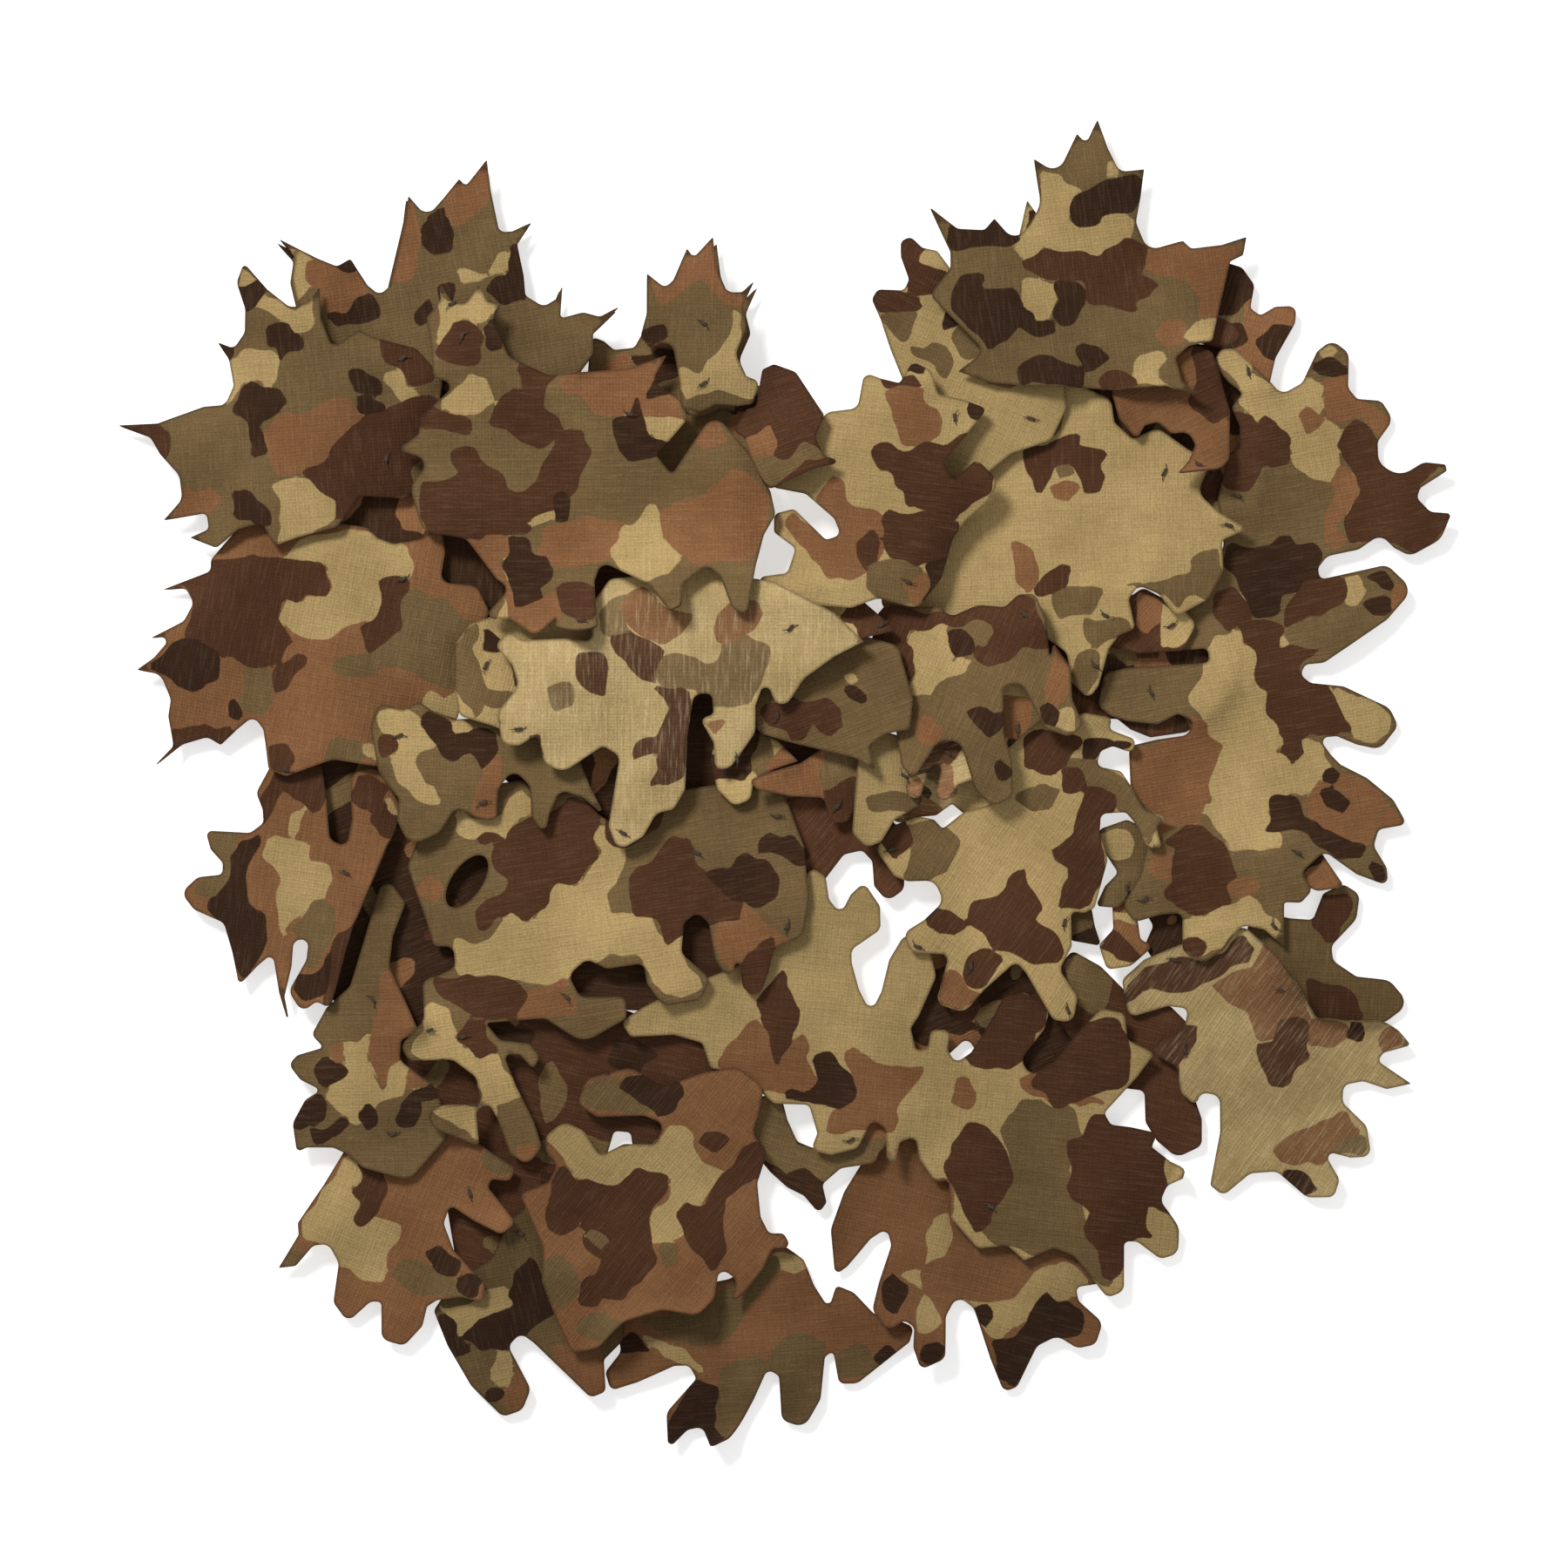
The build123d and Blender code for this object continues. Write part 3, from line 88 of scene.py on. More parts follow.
# ---------------------------------------------------------------- printed patches
# For each leaf its ground colour and its patches, later ones over earlier ones, in mm:
# a letter starts a patch (T tan, O olive, R rust, B brown, D dark) and x,y points follow.
PATCHES = {
    "far_left": ("O", """
    O -186,109 -178,112 -168,114 -164.5,111 -160,108 -158,104 -160,100 -165,98 -169,92 -171,87 -173,90
    -175,83 -177,89 -181,96 -183,101 R -181,90 -176,88 -172,90 -169,86 -172,81 -185,79 -180,84 D -166,88
    -160,89 -157,84 -153,80 -156,77 -165,80 T -166.5,127 -162,131.5 -155,131 -151.5,127 -152,121
    -155,117.8 -158,122 -161,122 -164,118 -166,112 -168,114 D -165,111 -163,118 -160,122.5 -157,119
    -151,118.5 -148,115 -150,110.5 -156,108 -159,105 -160,108 -163,111 D -159,107 -154,105 -155,100
    -160,99 D -156,137 -152,139.5 -147,136 -143,135 -144,131 -148,130 -151.5,126.5 -152,129.5 -155,131.5
    T -156.5,147.5 -150,145 -146,143 -142,145.5 -139.5,147 -139.5,138 -141,135 -147,136 -150,138.5
    -153,141 -158,144 D -163.5,150 -158,152.5 -155,148 -158,144 -161,142 -162.5,146 T -164,150
    -163,156.5 -160,155 -157.5,152 -162,149.5 D -170,133.5 -168,133 -165,131 -166,126.5 -168,127
    -168.5,131 D -129,123 -126,124 -121.5,123 -121.5,118 -128,117.5 T -121,121 -119,124.5 -115,124.5
    -114,120 -110,118.5 -110,116.5 -114,115.5 -117,118 D -127,116.5 -121,115.5 -119,111.5 -125,110.5
    -127,113 R -150,110 -143,112 -138,115 -131,117 -127,113 -126,110.5 -131,106 -131,103 -136,100
    -137,96 -143,92.5 -151,94 -154,98 -156,104 -152,108 B -126,111 -120,113 -114,116 -106,115.5 -100,112
    -104,104 -112,95 -110,88 -116,86 -125,85 -131,80 -134,80 -134,85 -138,87.5 -141,91 -143.5,93
    -142,95.5 -137,96.5 -136,100 -131,104 B -120,135 -115,138 -110,140 -106,139 -105,120 -112,119.5
    -114,121 -115,125 -119,127 T -153,92 -150,93 -145,92 -141,91 -137,87.5 -133.5,85 -133.5,79 -140,76
    -150,69 -153,73 -152,77 -151,84 -153,88 B -200,109 -188,108 -183,101 -186,97 -190,104"""),
    # In crown_left the last dark patch, beside the star, is a painted shadow spot.
    "crown_left": ("O", """
    R -115,176 -112,175 -110,168 -109,162 -111,153 -116,150 -118,151 -114,168 D -109,168 -105,170.5
    -101,175 -101,170 -98,166 -100,161 -105,160.5 -108.5,163 R -101,176 -99,181 -95,180 -92,187 -88,187
    -89,178 -92,172 -96,168 -99,168 -101,172 T -99,155 -97,156.5 -90,153.5 -88,156 -86,160.5 -82,160.5
    -81,156 -86,153 -89,152 -97,150.5 D -86,152.5 -82,154 -82,162 -80.5,163 -78,155 -78,146 -84,144.5
    -90,149 T -148,161.5 -145,161 -141,158.5 -142,155 -141,150 -146,144 -148,144 -148.5,150 R -141,158
    -134,156 -130,156 -126,151 -124,148 -128,144 -131,140 -137,143 -139,148 -142,152 -142,156 D -135,157
    -133,158 -130,157.5 -129,154.5 -134,155 D -138,142 -131,141 -128,146 -124,148 -121,145 -121,140
    -126,138 -135,138 D -154,164 -150,164 -147,160 -148,158 D -111,142 -108,145.5 -105,146 -106,140
    -110,139 D -104,150 -100,152.5 -98,150 -98,145 -102,146"""),
    "big_left": ("O", """
    T -103,151 -100,146 -96,144 -93,147 -91,150 -88,146 -84.5,144 -86,140 -89,138 -93,138 -97,138.5
    -100,135 -104,131 -103,140 B -103,131 -100,135 -97,138 -92,137.5 -90,134 -91,128 -94,125.5 -99,126.5
    -104,129 D -90,136 -87,139 -84,138 -84,131.5 -88,131 B -85,143 -80,142 -78.5,138 -78.5,131 -81,130.5
    -83,134 -86,138 D -77,147 -72,144 -68,145 -67,150 -68,142 -72,141.5 -76,142 B -78,128 -73,129.5
    -69,129 -67.5,124 -71,120 -72,116 -71,113 -74,110.5 -77,112 -77,121 -79,124 T -104,113.5 -99,118
    -96,121 -93,124 -90,122 -88,117 -86,114 -90,112 -97,110.5 -102,112 B -107,113 -100,110.5 -94,110
    -93.5,105.5 -99,104.5 -105,106 -109,108 B -86,113 -82,117 -77,117 -72,113 -68,110 -66,105 -72,101.5
    -79,103.5 -83,107 -88,108 B -99,100 -96,101 -92,101.5 -90,97 -86,96 -83,93 -82,89 -77,87 -73,91
    -71,95 -66,92 -66,84 -70,82 -76,76 -80,76 -88,73 -96,74 -104,73 -109,85 -108,90 -102,91 -97,94
    -99,97 T -77,79 -74,81 -69,83.5 -68,81 -70,78 -74,77 R -97,73.5 -92,73 -88,75 -80,74.5 -81,71 -85,66
    -90,66 -95,68 -97,71 B -66,105 -62,107 -58.5,106 -59,103 -57,100 -60,95 -62,88 -66,84 -70,84 -72,95
    D -68,88 -65,88 -64,84 -65,79 -68,78 R -73,72 -70,76 -66,78 -58,80 -50,79 -44,76 -50,69 -60,66
    -68,66 -74,68 R -68,121 -62,125 -55,124 -47,125 -38,129 -34,127 -39,122 -42,117 -41,110 -46,111
    -52,110 -58,113 -62,117 -66,117 T -68,124 -68,136 -65,140 -60,141 -56,140 -52,143 -49,143.5 -54,139
    -57,136 -57,131 -60,126 -64,123 D -33,128 -36,124 -41,118 -40,116.5 -35,117.5 -31.5,121 -31.5,126 R
    -41,117 -34,117 -31.5,114 -31,110.5 -36,110.5 -41,110 T -43,110 -36,110.5 -32,110.5 -28,109.5
    -30,106 -34,103 -38,103 -41,105 -43,108 D -44,117 -43,112 -42,108 -40,103 -35,102 -38,98 -45,97
    -49,101 -51.5,105 -51,109 -46,110 R -27,108 -23,111 -21,112 -19,107 -17,103 -21,101.5 -26,103 T
    -52,72 -48,76 -44,79 -42,82 -38,83.5 -36,80 -37,75 -33,70 -30,66 -40,60 -50,64 R -36,82 -30,86
    -24,88 -18,92 -12,95 -8,91 -5,86 -5,80 -8,72 -12,68 -25,66 -33,69 -37,76 R -101,66 -96,70 -92,68
    -88,65 -87,60 -90,54 -96,52 -102,55 -108,58 -103,60 O -92,55 -88,60 -85,60 -82,56 -83,50 -88,47
    -92,50 T -84,58 -80,54 -80,50 -84,46 -88,47 -85,50 R -88,68 -84,66 -80,54 -75,56 -66,58 -66,50
    -76,45 -80,48 D -82,75 -76,75 -76,70 -72,69 -69,65 -70,61 -73.5,60 -72,56 -77,54 -80,54 -81,60
    -83,66 -82,70 B -68,60 -60,60 -55,58 -56,50 -62,50 -68,54"""),
    "maple_top": ("O", """
    R -41,153 -38,150 -33,150 -30,158 -27,158 -21,164 -20,155 -17,147 -12,147 -13,143 -17,143 -20,147
    -26,152 -32,146 -38,144 D -42,136 -38,138 -35,138 -35,134 -38,133 -42,132 T -15,142 -12,141 -12,136
    -13.5,130 -12,124 -7,121 -9,115 -14,116 -20,117.5 -30,114.5 -31.5,118 -31,126 -26,124 -22,128
    -18,134 -16,138"""),
    "dark_curl": ("B", """
    R -12,103 -8,104 -4,107 -2,104 -3,99 0,96 -6,93 -9,95 -10,99 O -10,99 -4,99 2,97 6,103 11,101 15,98
    9,97 2,92 -4,89 -7,92"""),
    "oak_by_notch": ("T", """
    R 31,118 35,119 41,118.5 42,114 46,110 46,105 42,101 38,101 35,104 33,110 B 29,122.5 34,121.5 38,122
    40,119 36,119 31,119 D 36,124 38,128.5 42,128 41,124 38,123 D 55,114 60.5,112.5 58,108.5 55.5,110 B
    25,100 28,101.5 33,102 37,100 42,102 47,100.5 52,104.5 56,105 50,97 55,97.5 60,96 63,93 62,88 57,84
    50,80 45,81 43,84 37,83 36,88 33,90 32,94 27,95 R 10,86 13,92 17,92 19,86 24,83 29,80 30,73 27,66
    20,60 12,62 8,68 5,73 0,80 3,82 13,73 17,75 15,81 B 22,74 25,76 28,72 27,66 24,63 22,66 B 28,79
    32,81.5 38,80 43,83 48,80 52,79 50,73 48,68 42,66 33,66 30,72 O 24,66 32,68 40,66 44,60 38,54 28,55
    24,60 R 36,60 43,64 44,56 38,54 D 42,66 50,70 56,66 54,60 50,57 46,54 42,56 44,61"""),
    "oak_behind_crown": ("T", """
    B 36,165 40,163 43,161 40,158 42,156 47,155 49.5,153 49,150 44,148 38,147 28,149 26,147 28,143
    34,142.5 41,143 39,147 37,152 35,160 O 28,142 34,142.5 40,143 39,137 37,133 32,137 O 38,131 44,133
    49,131 51.5,126 49,122 45,126 40,128.5 O 51,134 53,139 58,134.5 60,131 54,128 R 60,125 66,125.5
    69,122 68,120.5 61,121 D 48,137 49,142 53,140.5 52,138"""),
    "crown_right": ("O", """
    T 75,187 77,185 82,184 84,181 89,178 88,174 84.5,173 86,169.5 92,168.5 96,171.5 105,171 106,169
    105.5,164 102,162 97,161.5 96,160 86,158.5 78,161 76,161 76,174 T 95,187 98,188.5 101,185 100,183.5
    95,183 D 84.5,173 86,176.5 91,178 95,182 100,183 104,184 107,181 107,176 105,171.5 97,171.5 93,169
    88,168.5 B 71,157 74,160 77,161 84,159 92,159.5 96,160 97,162 104,163.5 109,160.5 110,157 107,154.5
    112,150 109,147 105,146.5 105,142.5 98,143 92,143.5 90,146 91,151 88,152 80,152.5 74,154 D 81,152
    88,151.5 90,148 90,144 86,139 82,138.5 79.5,141 82,145 T 72,152 80,152 82,147 79,140 74,139 71,145 R
    109,160 114,162.5 120,162 130,162 137,162 134,157 132,150 133,143 131,137.5 124,139 124,147 122,151
    116,152.5 112,153 108,156 T 119,134 121,139.5 129,140 130,135.5 127,132 122,131.5 R 111,135
    113,139.5 119,139 119,133 116,131.5 113,133 T 104.5,127 106,130 112,132 115,129 112.5,125 113,121.5
    122,116 118,118 110,119.5 106,118.5 104,122 D 88,131 90,132 94,131 96.5,128 94,125 89,124 D 70,121
    70,126 75,128.5 80,127.5 86,126.5 88.5,124 89,119 86,118.5 82,120 76,121 B 95,121 99,124 103,124
    105,121 106,118.5 102,118 96,118.5 D 49,168 53,167 60,167 63,170 67,166 70,164.5 67,160.5 60,161
    50,161 T 68,161 70,165 74,171 77,172 77,161 71,157.5 D 52,153 58,153 59,148 64,148 70,149 72,145
    75,140 70,138.5 66,133 62,131 59,134 55,138 50,143 51,148 D 71,139 75,139 79,140 80,137 77,134
    73,136"""),
    "crown_right_back": ("T", """
    D 73,164 76,165 76.5,171 73.5,172 72,168"""),
    "oak_rust_right": ("R", ""),
    "oak_under_crown": ("R", """
    B 122,131 130,132 135,125 137,117 134,112 128,108 122,114 124,122"""),
    "fan_tan": ("T", """
    B 72,101 80,103 83,104 88.5,104 89.5,101 93,102 96.5,99.5 94,96.5 96,92 95,87.5 91,87 88,90 86,96
    84,97 80,96 78,90 76,87.5 74,90 73,95 O 81,96.5 85,97 86,93 82,92 R 79,90 84,91 89,88 85,85.5
    81,84.5 O 66,116 75,118 82,117 83,112 81,106 75,103 66,101 O 101,61 108,62 116,62 122,64 122,68
    130,72 132,60 128,56 122,58 118,53 114,57 106,60 B 75,60 79,64 83,67 86,66 86,62 84,59 80,58 76,57 O
    80,58 84,60 90,60 95,58 93,52 88,50 82,50 81,54 O 90,50 96,50 102,49 104,46 98,44 94,40 90,44 R
    68,74 74,72 76,62 73,58 69,60 O 86,38 92,40 95,38 92,31 90,28 86,31"""),
    "oak_right_long": ("O", """
    T 160,131 163,133 166,131 164,129 161,128 D 158,126 161,129 165,128 168,126 168,123.5 158,124.5 R
    158,121 163,123 168,124 169,118 173,116 178,114 182,110 180,104 177,108 172,112 169,110 165,108
    163,113 163,118 T 136,131 140,127 142,122 147,119 153,120 158,122 161,120 163,114 160,112 164,110
    168,105 167,101 167,96 165,92 158,92 152,96 152,102 151,106 147,109 143,111 141,107 138,112 135,115
    136,120 131,124 130,128 R 154,112 158,113 163,110 160,107.5 156,107 B 133,112 139,111 142,106
    144,111 149,109 152,104 151,97 148,95.5 143,96.5 141,92 139,89 132,90 134,98 136,105 B 166,102
    168,107 171,110 175,109 178,104 179,98 184,94 188,94 192,97 200,98 192,91 190,87 194,83 201,81
    196,75 188,69 182,73 177,75.5 171,73 169,79 172,84 173,90 170,96 R 163,92 167,97 172,92 173,87
    170,82 165,78 170,74 165,70 162,72 162,80 166,84 166,89 D 134,72 145,72 149,75 153,75 155,72 160,72
    161,62 156,58 150,57 149,52 141,50 140,57 136,60 133,66 B 129,58 134,60 140,56 141,50 137,47 131,46
    129,52 B 156,62 168,62 170,59 167,55 163,53 156,50 150,48 150,52 155,57 T 168,62 172,63 174,61
    175,57 172,53 168,54 169,58 D 175,63 180,64.5 183,62 182,58.5 178,59 D 174,54 178,57 182,56 182,53
    179,50.5 175,51 R 183,62 187,60 188,57 183,52 182,56 182,59 B 137,48 146,50 150,48 148,43 154,42
    162,40 156,37 155,34 158,31 162,30 164,28 167,23 170,18 170,15 164,16 158,15 156,9 152,6 147,10
    150,14 147,18 144,22 145,28 141,34 142,38 138,42 T 128,45 134,46 138,46 137,42 142,39 141,33 145,28
    144,22 148,18 149,13 146,10 152,6 156,9 156,14 161,14 163,10 166,6 160,0 156,-4 152,-2 147,-3 146,-8
    150,-14 150,-20 142,-20 134,-20 132,-16 128,-10 124,-7 128,-3 126,1 130,8 131,14 127,14 125,20
    120,25 124,32 127,38 T 163,30 168,29 176,26 183,21 182,16 178,12 170,14 170,18 167,23 R 104,8 108,12
    116,14 120,16 122,20 126,19 127,15 132,13 130,6 128,1 126,-4 124,-7 126,-12 122,-13 116,-12 113,-14
    110,-12 114,-9 108,-5 105,0 B 118,-14 122,-13 128,-14 132,-18 134,-22 136,-27 132,-30 134,-36
    130,-37 122,-38 117,-36 114,-32 118,-28 116,-24 118,-20 114,-17 R 110,-18 116,-20 116,-25 118,-28
    110,-28 108,-24 R 135,-28 140,-27 143,-30 140,-34 134,-33 132,-31 T 120,-39 126,-38 132,-37 136,-34
    141,-33 145,-38 149,-40 149,-47 145,-45 140,-42 135,-44 130,-50 126,-52 120,-50 119,-45 B 121,-46
    124,-45 127,-48 125,-52 120,-50 D 146,-4 149,-2 153,-3 155,-6 156,-10 163,-13 170,-17 176,-18
    174,-22 166,-22 160,-17 152,-13 146,-13 147,-9 R 156,-6 160,0 165,4 170,4 178,-1 184,-7 186,-11
    178,-13 176,-18 168,-16 160,-12 D 161,-2 164,0 167,-2 170,-5 168,-8 163,-6 D 162,5 165,7 168,4 166,1
    163,2 D 175,-24 177,-22 180,-24 181,-28 178,-29 T 148,45 151,46 152,43 149,40"""),
    "oak_lobe_right": ("B", """
    R 104,56 106,59 111,57 114,53 113,47 109,44 105,48 T 113,54 118,52 121,54 124,49 120,42 112,40
    113,46"""),
    "oak_centre_right": ("T", """
    B 71,14 76,18 86,16 90,14 86,8 80,4 72,4 D 90,14 94,15 98,14 104,13 103,11 97,11 94,7 90,8 O 84,8
    90,8 96,6 100,4 104,0 108,-6 114,-10 110,-14 111,-18 106,-14 102,-10 98,-4 92,-1 86,2 B 82,2 84,6
    88,5 90,1 86,-2 83,-1 B 90,0 96,-1 100,-4 99,-8 95,-11 96,-20 95,-28 92,-36 86,-37 81,-36 84,-30
    86,-24 81,-22 80,-19 84,-16 88,-14 87,-8 89,-3 O 70,-2 76,0 82,0 80,-6 74,-7 70,-5 O 38,-12 42,-10
    48,-12 52,-16 50,-22 48,-26 42,-28 36,-27 38,-20 34,-14 B 28,-12 36,-11 38,-18 32,-22 B 58,-34
    64,-32 68,-27 72,-26 73,-31 77,-36 74,-40 80,-43 84,-52 76,-54 68,-50 62,-48 60,-44 54,-40 B 44,-36
    50,-37 54,-41 50,-45 46,-44 42,-40 B 54,-50 60,-48 66,-52 60,-60 54,-58 R 46,-64 50,-54 56,-60
    60,-62 54,-68"""),
    "oak_brown_centre": ("O", """
    B 24,45 28,52 34,54 46,52 54,53 62,54 68,57 74,57 76,50 79,44 78,40 72,42 68,38 62,36 56,38 56,42
    60,42 64,46 62,49 56,50 52,47 46,49 42,46 38,47 36,44 39,40 38,34 36,30 30,30 22,28 14,32 11,34
    20,42 T 37,45 40,47 44,48 48,49.5 48,45 50,41 50,38 56,38.5 54,33 50,34 45,31 44,27 40,27 37,28
    38,32 39,38 38,42 D 48,47 53,46 56,43 56,40 51,39 49,42 D 54,22 57,23 62,22 65,23.5 66,20 64,15
    60,14 57,17 R 38,20 44,21 47,17 45,12 40,14 D 62,5 65,8 68,3 66,0.5 63,1.5 R 80,38 82,42 84,38
    84.5,32 83,26 80,24 78,28 79,33 T 80,24 86,24 88,20 88,16 83,17 79,19 81,21 D 76,23 79,25 81.5,23
    81,19 77,19"""),
    "olive_mid": ("O", """
    B -8,22 -4,24 2,26 8,26 13,25 16,22 18,18 14,15 10,16 8,20 6,14 2,13 1,17 -4,19 T 18,33 21,34 24,30
    20,30 D 18,30 23,29 26,26 24,24 20,26"""),
    "brown_spike": ("T", """
    D 2,41 4,42.5 5,40 4,35.5 2,35 1.5,38 O -5,31 0,33 6,33 2,27 -2,25 -4,28 B 16,50 20,54 22,58 26,55
    30,49 33,46 28,44 24,43 21,47"""),
    "streak_leaf": ("T", """
    O -70,29 -66,31 -63,31 -64,24 -68,21 -70,24 B -61,39 -57,40 -53,39 -51.5,34 -53,26 -57,28 -61,31 B
    -51,48 -48,49 -45,45 -39,42 -36,40 -39,36 -38,31 -43,32 -48,38 -51,43 B -40,30 -35,29 -30,30 -27,27
    -28,20 -29,10 -29,2 -35,0 -40,1 -38,5 -36,10 -41,9 -45,7 -43,14 -37,15 -35,20 -35,26 O -55,51 -50,56
    -44,58 -40,54 -47,49 -46,45 -50,44 -56,47 R -50,53 -46,58 -41,60 -38,57 -35,53 -30,52 -27,51 -30,47
    -36,42 -42,44 -47,49 R -20,50 -16,55 -10,54 -6,51 -8,46 -14,43 -20,43 -21,47 O -39,38 -30,40 -25,37
    -20,38 -20,43 -12,44 -4,42 -3,37 -6,34 -8,29 -10,24 -20,22 -24,28 -30,30 -36,29 -38,33 R -24,20
    -20,19 -17,19 -20,14 -22,18 B -76,14 -73,14 -72,8 -75,8"""),
    "spike_tan": ("T", ""),
    "rust_tongue": ("R", """
    B 12,-10 20,-11 26,-6 24,1 17,3 12,0 O 10,3 14,10 20,11 22,6 18,1 13,-2"""),
    "knuckle": ("B", """
    D -7,-18 -2,-15 4,-17 7,-21 5,-25 -1,-21 R 7,-30 18,-29 29,-34 27,-42 16,-45 8,-40"""),
    "grey_lobe": ("T", """
    O 24,-3 32,-1 41,-4 40,-8 31,-8 25,-7"""),
    "pale_lobe": ("T", ""),
    "under_pale": ("T", ""),
    "slot_tan": ("T", ""),
    "gap_olive": ("O", """
    T 94,-14 100,-12 105,-16 103,-22 96,-21"""),
    "gap_dark": ("D", """
    R 115,-38 119,-39 119,-42 115,-42"""),
    "gap_chip": ("D", ""),
    "gap_tan": ("T", ""),
    "notch_olive": ("O", ""),
    "notch_filler": ("O", ""),
    "deep_brown": ("B", ""),
    "tan_inner": ("T", """
    O -98,40 -96,46 -92,47 -93,41 -90,33 -88,28 -92,20 -95,24 -98,30 D -90,46 -87,46.5 -84,43 -85,39
    -89,39 -90,42 B -78,43 -72,43 -60,43 -62,38 -69,37 -69,30 -80,30 -81,36 -83,38 -79,39 O -93,26
    -90,30 -86,29 -82,29 -79,27 -82,24 -86,23 -90,24"""),
    "left_inner": ("O", """
    T -122,22 -117,24 -108,21 -108,17 -105,15 -104,12 -109,9 -110,6 -108,2 -104,1 -101,-3 -102,-6
    -110,-4 -113,-1 -116,2 -118,8 -115,11 -116,14 -121,15 -123,18 B -122,15 -117,15 -115,12 -118,9
    -121,9 D -108,20 -106,22 -102,21 -98,18 -94,17 -90,18 -87,15 -86,11 -88,7 -90,5 -92,8 -95,11 -99,8
    -103,10 -105,14 -108,17 T -101,21 -96,21 -92,19 -94,16 -99,17 R -93,0 -89,5 -86,10 -84,6 -85,-3
    -86,-10 -92,-9"""),
    # In left_middle the olive patch round -133,9 is partly painted shade: a shadowed part of the rust
    # leaf drawn dark olive.
    "left_middle": ("R", """
    T -150,70 -145,75 -134,76 -126,76.5 -120,74 -113,72 -110,66 -112,62 -119,62 -121,56 -122,50
    -130,47.5 -135,44 -141,44 -146,45 -152.5,50 -150,55.5 -145,56 -142,58 -137,57 -134,59.5 -136,64
    -141,67 -147,67 -152,69 B -171,68 -160,68 -150,69 -143,67 -138,65 -134.5,60 -137,57 -142,58.5
    -147,55.5 -151,56 -152.5,50 -147.5,44 -150,42 -152,37 -160,37 -166,39 -170,38 -175,43 -181,45
    -178,50 -177,56 -180,60 -188,59 -179,62 -172,65 D -181,45 -186,40 -193,35 -188,35 -184,32 -181,29.5
    -177,29 -172,31 -170,33 -170,38 -175,43 O -163,37 -158,37 -153,36.5 -153,21 -160,21 -163,24 -162,29
    D -167,25 -164.5,26 -162,22 -163,19.5 -167,20 B -184,17 -176,18 -171,17 -166,17 -165,15 -170,13
    -176,14 -184,11 B -150,37.5 -146,40 -143.5,39 -144,36.5 -148,33 -149,30 -153,28 -153,36 O -119,50
    -114,57 -110,60 -105,57 -100,55 -97,50 -92,48 -96,44 -98,38 -98,30 -106,30 -110,34 -118,36 -124,33
    -130,31 -137,35 -134,39 -126,40 -122,42 -117,46 B -121,62 -114,62 -113,58 -116,54 -115,48 -119,44
    -123,40 -125,40.5 -126.5,45 -126,48 -121.5,50 -121,56 O -137,14 -133,16 -127,14 -125,9 -127,5 -133,2
    -139,6 T -127,12 -124,13 -121,10 -122,6 -126,8 B -154,12 -149,13 -146,8 -148,3 -153,4 T -106,28
    -101,28 -96,31 -94,28 -94,24 -90,20 -97,20 -101,22 -106,20 -109,24"""),
    # In left_low the last brown band, along the right edge, is painted shade where that edge falls away
    # into shadow.
    "left_low": ("R", """
    B -153,3 -148,6 -142,8 -139,5 -137,-3 -140,-8 -146,-5 -150,-1 -152,-6 -155,-12 -157,-6 B -129,2
    -124,4 -118,0 -120,-6 -122,-8 -126,-6 -130,-4 B -122,-8 -118,-6 -115,-10 -117,-16 -121,-14 -123,-11
    T -119,-4 -117,-3 -115,-8 -117,-10 -119,-7 T -148,-9 -144,-6 -143,-10 -146,-15 -148,-16 T -155,-16
    -149,-15 -141,-16 -141,-22 -137,-23 -136,-28 -137,-33 -143,-36 -147,-40 -149,-44 -150,-48 -152,-42
    -153,-34 -152,-28 -156,-22 D -160,-16 -156,-14 -157,-18 -161,-24 -160,-36 -156,-38 -156,-48 -163,-59
    -166,-50 -168,-42 -174,-36 -167,-30 -165,-20 O -172,-13 -160,-14 -164,-18 -166,-27 -170,-35 -179,-32
    -174,-28 -168,-26 -171,-20 O -148,-44 -142,-35 -137,-33 -134,-36 -134,-44 -138,-52 -143,-56 -144,-50
    D -147,-58 -142,-57 -138,-54 -133,-46 -131,-50 -133,-60 -133,-66 -137,-62 -143,-66 -147,-62 B
    -135,-46 -125,-38 -116,-23 -112,-10 -112,-30 -118,-46 -125,-57 -132,-70 -138,-67"""),
